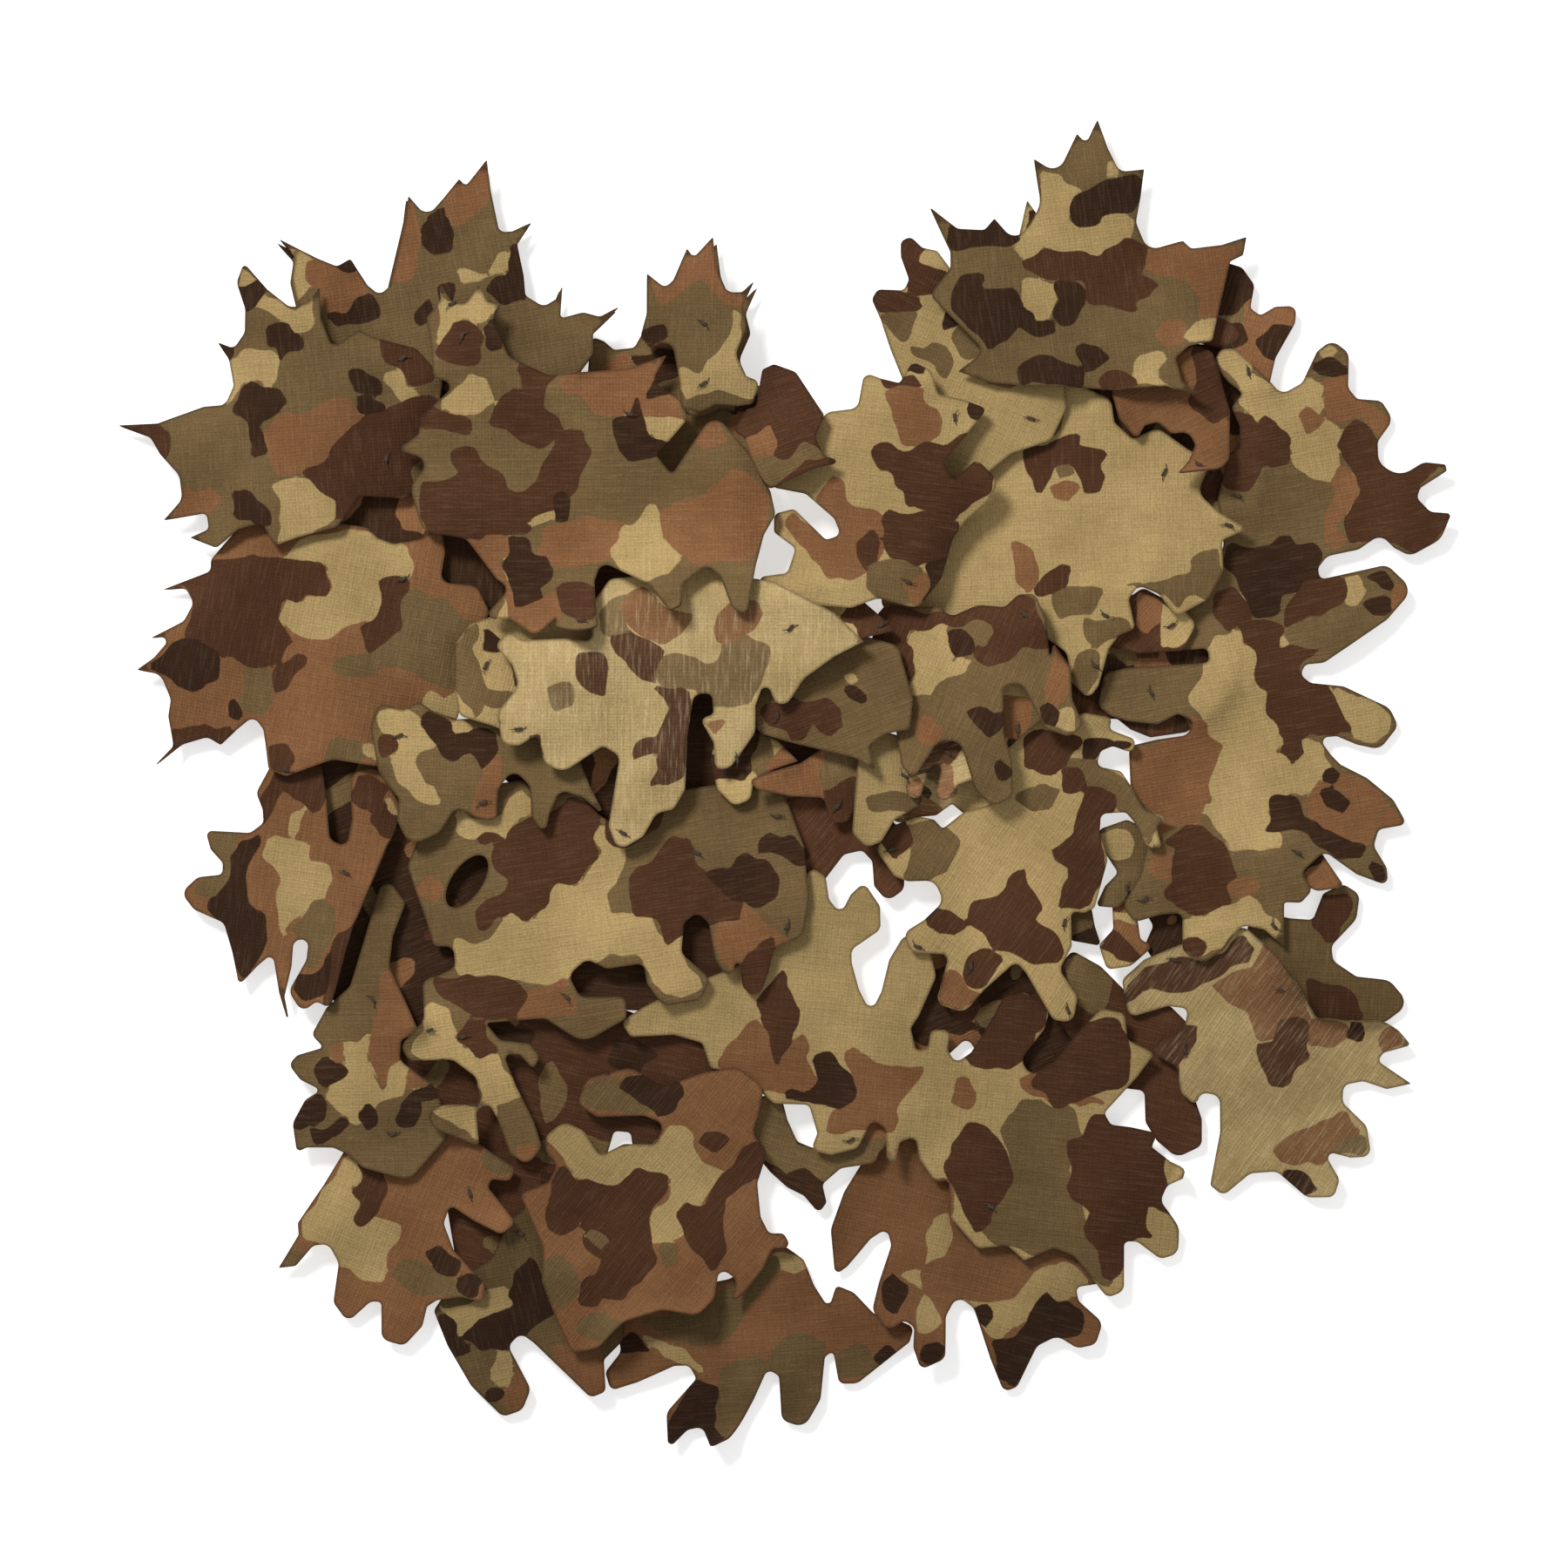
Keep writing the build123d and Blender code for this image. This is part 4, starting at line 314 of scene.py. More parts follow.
    "left_centre": ("O", """
    T -99,-8 -95,-6 -92,-9 -86,-10 -82,-2 -79,0 -76,-3 -75,-8 -80,-10 -82,-14 -86,-18 -90,-14 -94,-16
    -98,-14 B -93,-16 -90,-13 -87,-14 -85,-17 -90,-18 B -86,-18 -80,-12 -76,-9 -70,-8 -64,-2 -58,-5
    -54,-9 -57,-14 -56,-20 -60,-26 -64,-30 -70,-30 -73,-38 -78,-40 -84,-38 -88,-42 -91,-44 -92,-38
    -88,-34 -84,-32 -82,-29 -88,-24 R -108,-27 -104,-27 -102,-30 -103,-35 -108,-34 -113,-34 T -100,-46
    -94,-47 -88,-45 -84,-41 -82,-37 -78,-40 -73,-39 -71,-32 -68,-28 -62,-30 -58,-24 -55,-18 -57,-14
    -54,-10 -50,-14 -48,-24 -50,-28 -54,-32 -52,-38 -40,-38 -36,-46 -30,-42 -28,-46 -30,-52 -24,-60
    -30,-64 -36,-62 -40,-56 -42,-52 -56,-52 -66,-60 -76,-58 -88,-56 -94,-58 -100,-56 B -100,-57 -92,-58
    -86,-56 -80,-58 -76,-62 -79,-69 -88,-70 -94,-68 -100,-66 -104,-62 -106,-57 R -76,-60 -70,-59 -64,-58
    -66,-62 -62,-68 -70,-69 -79,-70 B -53,-14 -52,-6 -48,0 -44,2 -40,0 -38,-4 -34,-4 -36,-10 -40,-14
    -46,-18 -52,-19 B -46,-26 -40,-22 -34,-15 -28,-16 -27,-24 -22,-27 -16,-30 -13,-34 -14,-40 -24,-42
    -30,-44 -36,-48 -36,-40 -46,-38 -47,-32 D -24,-26 -16,-24 -10,-20 -6,-22 -2,-26 -2,-32 -8,-36
    -14,-34 -20,-29 D -8,-17 -4,-15 2,-16 6,-20 8,-24 4,-24 0,-21 -6,-20 R -20,-42 -14,-40 -13,-35
    -8,-38 -4,-44 4,-47 -4,-50 -10,-52 -14,-56 -18,-52 -22,-46 B -8,-48 -4,-45 -3,-50 -5,-60 -9,-63
    -12,-60 -13,-53 T -113,-80 -112,-76 -108,-72 -109,-68 -106,-64 -102,-66 -98,-72 -96,-78 -90,-80
    -84,-80 -84,-85 -80,-90 -78,-95 -84,-97 -92,-106 -98,-103 -105,-98 -103,-95 -92,-95 -90,-91 -95,-86
    -100,-82 -110,-82 B -98,-76 -94,-70 -90,-71 -88,-76 -84,-80 -90,-80 -94,-78 O -86,-96 -80,-94
    -76,-100 -74,-106 -80,-106 R -79,-108 -74,-107 -73,-111 -77,-113 -80,-111"""),
    # The olive ground of left_column is partly painted shade, for the part of the leaf that lies in
    # shadow.
    "left_column": ("O", """
    R -120,-55 -112,-60 -110,-68 -113,-74 -114,-82 -118,-84 -120,-90 -123,-84 -123,-74 -122,-66 T
    -132,-76 -128,-77 -125,-74 -123,-76 -124,-84 -120,-91 -118,-84 -113,-80 -112,-88 -114,-93 -120,-94
    -122,-98 -128,-103 -134,-98 -140,-92 -134,-90 -131,-86 D -141,-85 -138,-82 -132,-83 -130,-86
    -132,-89 -138,-91 R -136,-79 -132,-77 -132,-83 -135,-83 R -112,-83 -108,-86 -106,-84 -106,-88
    -112,-90 D -109,-82 -99,-84 -99,-90 -103,-93 -108,-94 -108,-98 -111,-102 -115,-101 -116,-96 -112,-92
    -108,-90 -104,-88 -106,-84 D -97,-91 -93,-89 -90,-92 -91,-94 -98,-94 D -145,-97 -140,-91 -138,-96
    -139,-101 -147,-103 D -142,-103 -137,-103 -133,-100 -130,-102 -138,-107 -141,-107 D -127,-98
    -124,-94 -121,-96 -121,-101 -124,-103"""),
    "low_left": ("R", """
    T -127,-102 -130,-110 -136,-118 -142,-125 -146,-131 -144,-137 -138,-137 -134,-145 -130,-144
    -127,-148 -120,-150 -118,-146 -119,-141 -116,-137 -115,-131 -123,-128 -130,-131 -127,-125 -129,-121
    -126,-117 -128,-112 -125,-106 B -128,-114 -126,-112 -123,-112 -120,-117 -119,-121 -121,-127
    -127,-132 -130,-131 -127,-125 -129,-122 -126,-118 O -127,-105 -123,-103 -121,-108 -124,-112 O
    -152,-144 -147,-139 -142,-139 -145,-144 O -116,-143 -110,-142 -100,-146 -90,-153 -110,-154 -117,-148
    D -107,-139 -104,-137 -100,-141 -95,-143 -98,-146 -104,-146 D -98,-148 -93,-146 -90,-149 -92,-153
    -97,-152 O -92,-108 -86,-109 -81,-113 -82,-117 -92,-113"""),
    "low_left_tail": ("O", """
    D -105,-160 -102,-158 -99,-160 -97,-166 -94,-170 -99,-172 -103,-165 T -105,-156 -98,-156 -90,-152
    -84,-149 -80,-155 -92,-162 -97,-166 -100,-160 D -97,-166 -90,-161 -80,-155 -83,-152 -80,-144
    -76,-140 -73,-146 -68,-156 -71,-160 -76,-165 -84,-170 -90,-169 T -88,-170 -82,-170 -81,-178 -84,-180
    -88,-178 R -82,-180 -80,-173 -77,-178 -77,-184 -82,-188 -87,-185 D -90,-182 -87,-180 -83,-181
    -84,-184 -88,-186 R -70,-166 -62,-168 -55,-168 -53,-172 -54,-182 -60,-181 -66,-176 T -66,-168
    -60,-166 -56,-163 -55,-168"""),
    "low_centre_left": ("R", """
    T -66,-100 -60,-101 -54,-108 -46,-107 -38,-107 -36,-101 -30,-101 -26,-105 -25,-112 -16,-117 -22,-120
    -25,-125 -32,-126 -29,-135 -36,-137 -41,-138 -41,-132 -40,-127 -35,-124 -34,-118 -44,-116 -45,-120
    -50,-121 -58,-119 -64,-116 -66,-110 -73,-104 B -66,-112 -64,-117 -50,-121 -44,-115 -35,-117 -35,-121
    -41,-128 -41,-138 -39,-142 -40,-147 -52,-154 -58,-152 -60,-149 -54,-142 -60,-138 -61,-130 -68,-125
    -70,-120 O -60,-134 -57,-132 -53,-134 -52,-137 -56,-138.5 B -33,-129 -30,-125.5 -24,-126 -22,-120
    -15,-115 -12,-108 -8,-107 -4,-110 -3,-115 -18,-124 -18,-131 -16,-138 -21,-145 -24,-140 -29,-136 O
    -39,-139 -36,-137 -30,-137 -31,-142 -36,-145 O -62,-92 -56,-87 -48,-86 -42,-95 -38,-98 -58,-98 D
    -49,-90 -46,-86 -40,-87 -30,-89 -36,-99 -42,-95 B -24,-104 -19,-103 -16,-106 -20,-110 -24,-108 O
    -73,-141 -67,-139 -62,-145 -61,-151 -65,-157 -71,-155 -75,-149 B -61,-147 -56,-145 -52,-150
    -55,-157 -61,-155 B -70,-121 -64,-124 -62,-131 -67,-135 -72,-130 O -60,-158 -52,-158 -46,-163
    -52,-168 -62,-165"""),
    "low_centre": ("T", """
    B -9,-66 -4,-60 -1,-56 2,-62 4,-67 2,-77 -2,-84 -5,-80 -5,-72 R -14,-76 -8,-70 -5,-73 -2,-84 2,-76
    6,-74 8,-84 10,-90 4,-92 -10,-90 -22,-84 D 9,-80 14,-80 16,-84 20,-87 22,-92 18,-98 8,-94 0,-93
    0,-91 8,-91 10,-87 R 18,-80 22,-78 26,-82 38,-84 42,-86 38,-92 34,-98 34,-104 22,-104 12,-104 14,-98
    22,-93 20,-86 R 52,-88 56,-88 57,-93 54,-97 49,-96 B 50,-108 54,-102 60,-102 65,-106 68,-118 62,-132
    58,-134 52,-124 48,-114 O 66,-100 74,-94 86,-96 90,-106 84,-118 90,-128 92,-138 100,-150 90,-146
    76,-140 58,-136 68,-120 R 70,-88 76,-86 86,-92 96,-96 88,-96 72,-92 B 85,-106 90,-105 91,-100 98,-99
    113,-104 116,-108 114,-116 116,-120 114,-124 116,-129 104,-124 92,-127 87,-124 84,-120 87,-114 B
    92,-127 98,-124 102,-120 110,-124 109,-132 112,-137 102,-136 102,-146 98,-148 90,-133 T 111,-126
    116,-130 119,-135 116,-141 109,-133 B 104,-103 112,-102 113,-107 102,-107 R 27,-118 34,-113 40,-118
    50,-118 50,-128 42,-134 46,-138 34,-144 27,-130 B 53,-80 61,-67 70,-62 78,-64 77,-75 70,-84 62,-85
    56,-84 B 78,-84 83,-72 91,-70 101,-70 104,-80 101,-90 91,-94 83,-96 73,-89"""),
    "bottom_right": ("R", """
    T 44,-130 48,-128 50,-134 48,-142 34,-147 40,-152 48,-160 44,-164 38,-164 D 29,-150 32,-147 37,-151
    34,-158 30,-156 D 40,-167 48,-167 47,-172 42,-174 T 52,-152 66,-156 74,-146 84,-142 94,-150 82,-156
    72,-160 62,-166 56,-158 D 56,-158 60,-155 63,-158 60,-162 D 61,-166 70,-165 76,-155 80,-152 84,-155
    90,-157 90,-164 82,-166 72,-176 68,-181 64,-178"""),
    # In bottom_centre the first olive patch, round -20,-155, is partly painted shade: a shadowed area
    # drawn dark olive.
    "bottom_centre": ("R", """
    T -5,-140 2,-140 8,-145 4,-148 -2,-146 O -34,-158 -20,-152 -10,-143 -3,-141 -1,-147 -9,-153
    -12,-161 -18,-168 -30,-168 -46,-160 T -44,-165
    -30,-168 -20,-178 -34,-173 D -50,-168 -46,-164 -39,-170 -49,-171 D -28,-177 -19,-181 -22,-191
    -17,-196 -21,-200 -29,-193 -36,-198 -33,-187 O -20,-177 -14,-172 -6,-171 -3,-176 -9,-186
    -18,-198 -22,-190 O -5,-172 1,-164 7,-163 12,-168 13,-178 13,-188 8,-194 1,-192 -2,-186 O 15,-170
    24,-167 30,-172 24,-178 17,-178 D 27,-171 32,-168 36,-171 31,-175"""),
    "right_low": ("T", """
    B 104,-60 110,-54 120,-52 128,-54 138,-43 140,-50 122,-61 108,-62 102,-66 R 129,-58 140,-53 144,-46
    152,-54 160,-70 150,-76 142,-76 140,-70 131,-64 B 119,-72 123,-72 124,-77 118,-83 117,-90 123,-104
    118,-105 112,-92 110,-78 B 141,-77 148,-77 150,-70 156,-69 158,-74 157,-82 150,-90 146,-89 R 158,-70
    168,-70 168,-76 163,-79 158,-77 D 168,-74 170,-70 174,-70 174,-76 168,-76 R 178,-76 182,-71 187,-77
    180,-80 R 147,-110 150,-106 162,-102 168,-98 174,-104 162,-112 150,-113 O 164,-107 174,-104 175,-108
    172,-111 166,-110 D 150,-115 156,-114 160,-121 156,-122 151,-118"""),
    "right_behind": ("O", """
    B 160,-33 170,-32 172,-36 163,-49 158,-40 B 156,-58 170,-60 176,-70 160,-70"""),
    "right_chip": ("R", """
    D 152,-18 160,-17 161,-22 156,-26"""),
    "gap_brown": ("B", """
    O 84,-52 94,-50 100,-58 96,-69 87,-66"""),
    "under_left_top": ("D", ""),
    "under_left_low": ("D", ""),
    "under_right": ("D", ""),
    "under_low_right": ("D", ""),
    "under_centre": ("D", ""),
    "under_mid_right": ("D", ""),
}
CLASSES = "TORBD"

# How the middle of a leaf or a part of its edge stands up: x, y, reach and height, mm.
LIFTS = {
    "big_left": [(-62, 47, 5, 4), (-35, 55, 5, 3), (-14, 66, 5, 3), (-35, 94, 3, -1), (-82, 125, 14, 2),
        (-100, 90, 12, 1.5)],
    "crown_left": [(-137, 150, 6, 2), (-100, 176, 8, 2), (-90, 150, 8, 2.5)],
    "maple_top": [(-30, 155, 8, 2), (-15, 140, 6, 2)],
    "far_left": [(-133, 137, 4, 3), (-130, 80, 5, 2), (-161, 76, 8, 1), (-185, 95, 7, 2.5)],
    "dark_curl": [(5, 90, 4, 3.5), (-3, 97, 5, 1)],
    "left_middle": [(-108, 66, 4, 2.5), (-165, 45, 9, 2), (-135, 10, 8, 2)],
    "left_low": [(-122, -30, 6, 5), (-131, -50, 6, 4), (-128, -5, 7, 2)],
    "left_centre": [(-60, -58, 4, 1.5), (-45, -45, 8, 3), (-100, -90, 8, 3), (-20, -50, 6, 2)],
    "low_centre_left": [(-35, -150, 7, 4), (-62, -145, 6, 3), (-12, -128, 6, 3), (-60, -112, 6, 2)],
    "low_left": [(-120, -120, 10, 2.5), (-140, -135, 7, 2.5), (-95, -115, 8, 2)],
    "left_column": [(-130, -90, 7, 2), (-115, -95, 5, 1.5)],
    "low_centre": [(15, -85, 7, 2), (95, -115, 9, 2.5), (40, -95, 8, 1.5)],
    "oak_right_long": [(165, 46, 7, 3), (183, 73, 4, 2.5), (150, 110, 9, 2), (165, 85, 8, 2), (140, 35,
        8, 1.5), (158, 5, 8, 2), (130, -20, 8, 1.5)],
    "oak_brown_centre": [(77, 49, 5, 4), (60, 20, 6, 1.5), (20, 38, 6, 1.5)],
    "oak_under_crown": [(126, 98, 7, 4)],
    "crown_right": [(112, 118, 5, 3), (90, 180, 8, 3), (128, 150, 9, 2), (60, 150, 8, 2)],
    "oak_by_notch": [(42, 122, 4, 3), (50, 90, 9, 2)],
    "oak_behind_crown": [(45, 155, 6, 2), (30, 145, 5, 2)],
    "fan_tan": [(85, 92, 9, 2), (110, 66, 6, 2), (90, 35, 6, 2)],
    "streak_leaf": [(-60, 35, 8, 1.5), (-30, 45, 8, 1.5)],
    "right_low": [(150, -55, 7, 4.5), (150, -90, 8, 2), (165, -105, 7, 2)],
    "bottom_right": [(75, -160, 9, 2), (45, -165, 6, 2)],
    "bottom_centre": [(-5, -180, 9, 2), (-35, -170, 6, 2)],
    "low_left_tail": [(-85, -165, 8, 2)],
    "olive_mid": [(5, 22, 5, 2)],
    "oak_centre_right": [(90, -20, 8, 2), (70, -40, 7, 2), (45, -25, 7, 2)],
}

# Where an edge of a leaf rolls up: the part left of the line from x, y to x, y, and the
# radius of the roll, mm.
CURLS = {
    "oak_brown_centre": [(76, 57, 78, 41, 3)],
    "big_left": [(-55, 50, -69, 49, 3.5), (-28, 58, -40, 52, 3)],
    "right_low": [(137, -48, 154, -72, 8)],
    "crown_right": [(125, 120, 103, 121.5, 3)],
    "left_low": [(-121, -17, -137, -66, 3)],
    "low_centre_left": [(-20, -145, -50, -150, 14)],
    "oak_under_crown": [(134, 98, 116, 96, 3)],
    "low_centre": [(112, -126, 116, -137, 5)],
    "bottom_centre": [(-12, -186, -28, -192, 8)],
}

# Painted shade and light: how much each leaf's colour is darkened or lightened, where it isn't 1, for
# how brightly that leaf is lit.
PAINTED_LEAF_LIGHT = {
    "bottom_centre": 0.72, "bottom_right": 0.72, "low_left_tail": 0.70, "right_low": 0.78,
    "low_centre": 0.84, "low_centre_left": 0.83, "crown_left": 0.88, "far_left": 0.88,
    "low_left": 0.90, "left_column": 0.90, "left_low": 0.88, "left_middle": 0.90,
    "oak_behind_crown": 0.86, "oak_by_notch": 0.92, "crown_right": 0.92, "maple_top": 0.92,
    "streak_leaf": 0.93, "grey_lobe": 0.75, "right_behind": 0.86, "gap_chip": 0.65,
    "gap_olive": 0.88, "oak_under_crown": 0.90, "notch_filler": 1.25, "under_left_top": 1.25,
    "under_right": 1.6, "under_centre": 1.3, "under_mid_right": 1.3, "knuckle": 1.3,
    "oak_brown_centre": 1.06, "spike_tan": 1.15, "pale_lobe": 1.12, "slot_tan": 1.12,
    "gap_tan": 1.12, "rust_tongue": 1.12, "oak_rust_right": 1.1, "oak_lobe_right": 1.08,
    "brown_spike": 1.1,
}

# The flaps, each listed with a body, a direction and a bend length in mm that nothing here uses: these
# leaves get no parent body, and knots are not set on them.
FLAP_BENDS = {
    "crown_right": ("crown_flap", (0, 1, 0), 30),
    "dark_curl": ("curl_flap", (1, 0, 0), 14),
    "low_centre_left": ("chin_flap", (0, -1, 0), 22),
}


# ---------------------------------------------------------------- helpers
def noise(x, y, cell, seed):
    """Smooth noise from -1 to 1 whose bumps are about cell wide."""
    grid = np.random.default_rng(seed).uniform(-1, 1, (97, 97))
    u = np.asarray(x, float) / cell + 48.3
    v = np.asarray(y, float) / cell + 48.7
    i, j = np.floor(u).astype(int), np.floor(v).astype(int)
    a, b = u - i, v - j
    a, b = a * a * (3 - 2 * a), b * b * (3 - 2 * b)
    i, j = i % 96, j % 96
    low = grid[i, j] * (1 - a) + grid[i + 1, j] * a
    high = grid[i, j + 1] * (1 - a) + grid[i + 1, j + 1] * a
    return low * (1 - b) + high * b


def inside(points, loops):
    """Which points lie inside a set of closed loops."""
    hit = np.zeros(len(points), bool)
    px, py = points[:, 0], points[:, 1]
    for loop in loops:
        after = np.roll(loop, -1, 0)
        for (ax, ay), (bx, by) in zip(loop, after):
            if ay != by:
                rows = (ay > py) != (by > py)
                hit ^= rows & (px < ax + (py - ay) * (bx - ax) / (by - ay))
    return hit


def distance(points, loops):
    """Distance from each point to the nearest side of the loops."""
    best = np.full(len(points), 1e9)
    for loop in loops:
        after = np.roll(loop, -1, 0)
        for a, b in zip(loop, after):
            along = b - a
            t = ((points - a) @ along) / max(along @ along, 1e-12)
            gap = points - a - np.clip(t, 0, 1)[:, None] * along
            best = np.minimum(best, (gap * gap).sum(1))
    return np.sqrt(best)


def cut_corners(points):
    """A closed polygon with its corners cut a little."""
    p = np.array(points, float)
    q = np.roll(p, -1, 0)
    return np.stack([p * 0.86 + q * 0.14, p * 0.14 + q * 0.86], 1).reshape(-1, 2)


def outline(node):
    """The closed loops round the top face of a CAD leaf, in mm."""
    mesh = frame["nodes"][node].data
    co = np.array([v.co for v in mesh.vertices]) / MM
    key = {}
    for i, c in enumerate(np.round(co, 3)):
        key.setdefault(tuple(c), i)
    same = [key[tuple(c)] for c in np.round(co, 3)]
    ahead = {}
    used = set()
    for face in mesh.polygons:
        if face.normal.z > 0.9:
            ring = [same[i] for i in face.vertices]
            for a, b in zip(ring, ring[1:] + ring[:1]):
                used.add((a, b))
    for a, b in used:
        if (b, a) not in used:
            ahead[a] = b
    loops = []
    while ahead:
        start, here = next(iter(ahead.items()))
        loop = [start]
        del ahead[start]
        while here != start and here in ahead:
            loop.append(here)
            here = ahead.pop(here)
        loops.append(co[loop][:, :2])
    return [loop for loop in loops if len(loop) > 5]


def respace(loop, step):
    """The same loop with points no further than step apart, and short sides merged."""
    after = np.roll(loop, -1, 0)
    points = []
    last = None
    for a, b in zip(loop, after):
        long = np.hypot(*(b - a))
        count = max(1, int(math.ceil(long / step)))
        for k in range(count):
            p = a + (b - a) * k / count
            if last is None or np.hypot(*(p - last)) > SHORTEST_SIDE:
                points.append(p)
                last = p
    return np.array(points)


def blur(field, sigma):
    """Gaussian blur of a field, by its spectrum."""
    fy = np.fft.fftfreq(field.shape[0])[:, None]
    fx = np.fft.rfftfreq(field.shape[1])[None, :]
    gain = np.exp(-2 * (math.pi * sigma) ** 2 * (fx * fx + fy * fy))
    return np.fft.irfft2(np.fft.rfft2(field) * gain, s=field.shape)


def grown(field):
    """Each cell takes the highest value of itself and its neighbours."""
    high = field.copy()
    for axis in (0, 1):
        for way in (-1, 1):
            high = np.maximum(high, np.roll(field, way, axis))
    return high


def sample(field, points):
    """The value of a height field at points in mm."""
    u = np.clip((points[:, 0] + HALF) / CELL, 0, SIZE - 1.001)
    v = np.clip((points[:, 1] + HALF) / CELL, 0, SIZE - 1.001)
    i, j = u.astype(int), v.astype(int)
    a, b = u - i, v - j
    low = field[j, i] * (1 - a) + field[j, i + 1] * a
    high = field[j + 1, i] * (1 - a) + field[j + 1, i + 1] * a
    return low * (1 - b) + high * b


# ---------------------------------------------------------------- materials
def rgb(r, g, b):
    """A colour given as sRGB bytes, in linear light."""
    out = []
    for c in (r, g, b):
        c /= 255
        out.append(c / 12.92 if c < 0.04045 else ((c + 0.055) / 1.055) ** 2.4)
    return (*out, 1)


class Tree:
    """A short way to write a node tree."""

    def __init__(self, name):
        self.material = bpy.data.materials.new(name)
        self.material.use_nodes = True
        self.nodes = self.material.node_tree.nodes
        self.links = self.material.node_tree.links
        self.shader = self.nodes["Principled BSDF"]

    def add(self, kind, **values):
        node = self.nodes.new(kind)
        for key, value in values.items():
            setattr(node, key, value)
        return node

    def put(self, socket, value):
        if hasattr(value, "is_output"):
            self.links.new(value, socket)
        else:
            socket.default_value = value

    def attribute(self, name):
        return self.add("ShaderNodeAttribute", attribute_name=name)

    def math(self, operation, a, b=0.0, c=0.0):
        node = self.add("ShaderNodeMath", operation=operation)
        for socket, value in zip(node.inputs, (a, b, c)):
            self.put(socket, value)
        return node.outputs[0]

    def mix(self, factor, a, b, blend="MIX"):
        node = self.add("ShaderNodeMix", data_type="RGBA", blend_type=blend)
        self.put(node.inputs[0], factor)
        self.put(node.inputs[6], a)
        self.put(node.inputs[7], b)
        return node.outputs[2]

    def noise(self, vector, scale, detail=2.0, rough=0.5, stretch=(1, 1, 1)):
        place = self.add("ShaderNodeMapping")
        self.put(place.inputs["Vector"], vector)
        place.inputs["Scale"].default_value = stretch
        node = self.add("ShaderNodeTexNoise")
        self.put(node.inputs["Vector"], place.outputs[0])
        node.inputs["Scale"].default_value = scale
        node.inputs["Detail"].default_value = detail
        node.inputs["Roughness"].default_value = rough
        return node.outputs["Fac"]

    def spread(self, value, low, high, to_low=0.0, to_high=1.0):
        node = self.add("ShaderNodeMapRange")
        for socket, v in zip(node.inputs, (value, low, high, to_low, to_high)):
            self.put(socket, v)
        return node.outputs[0]


PRINT = {
    "T": (rgb(173, 147, 98), rgb(154, 130, 85)),
    "O": (rgb(111, 90, 58), rgb(97, 77, 48)),
    "R": (rgb(131, 91, 59), rgb(115, 78, 49)),
    "B": (rgb(79, 50, 32), rgb(68, 42, 26)),
    "D": (rgb(59, 38, 24), rgb(48, 30, 18)),
}
WRONG = {
    "T": (rgb(190, 165, 115), rgb(162, 138, 92)),
    "O": (rgb(131, 109, 74), rgb(108, 88, 58)),
    "R": (rgb(143, 104, 71), rgb(120, 85, 55)),
    "B": (rgb(92, 63, 43), rgb(76, 51, 34)),
    "D": (rgb(70, 48, 33), rgb(54, 36, 24)),
}


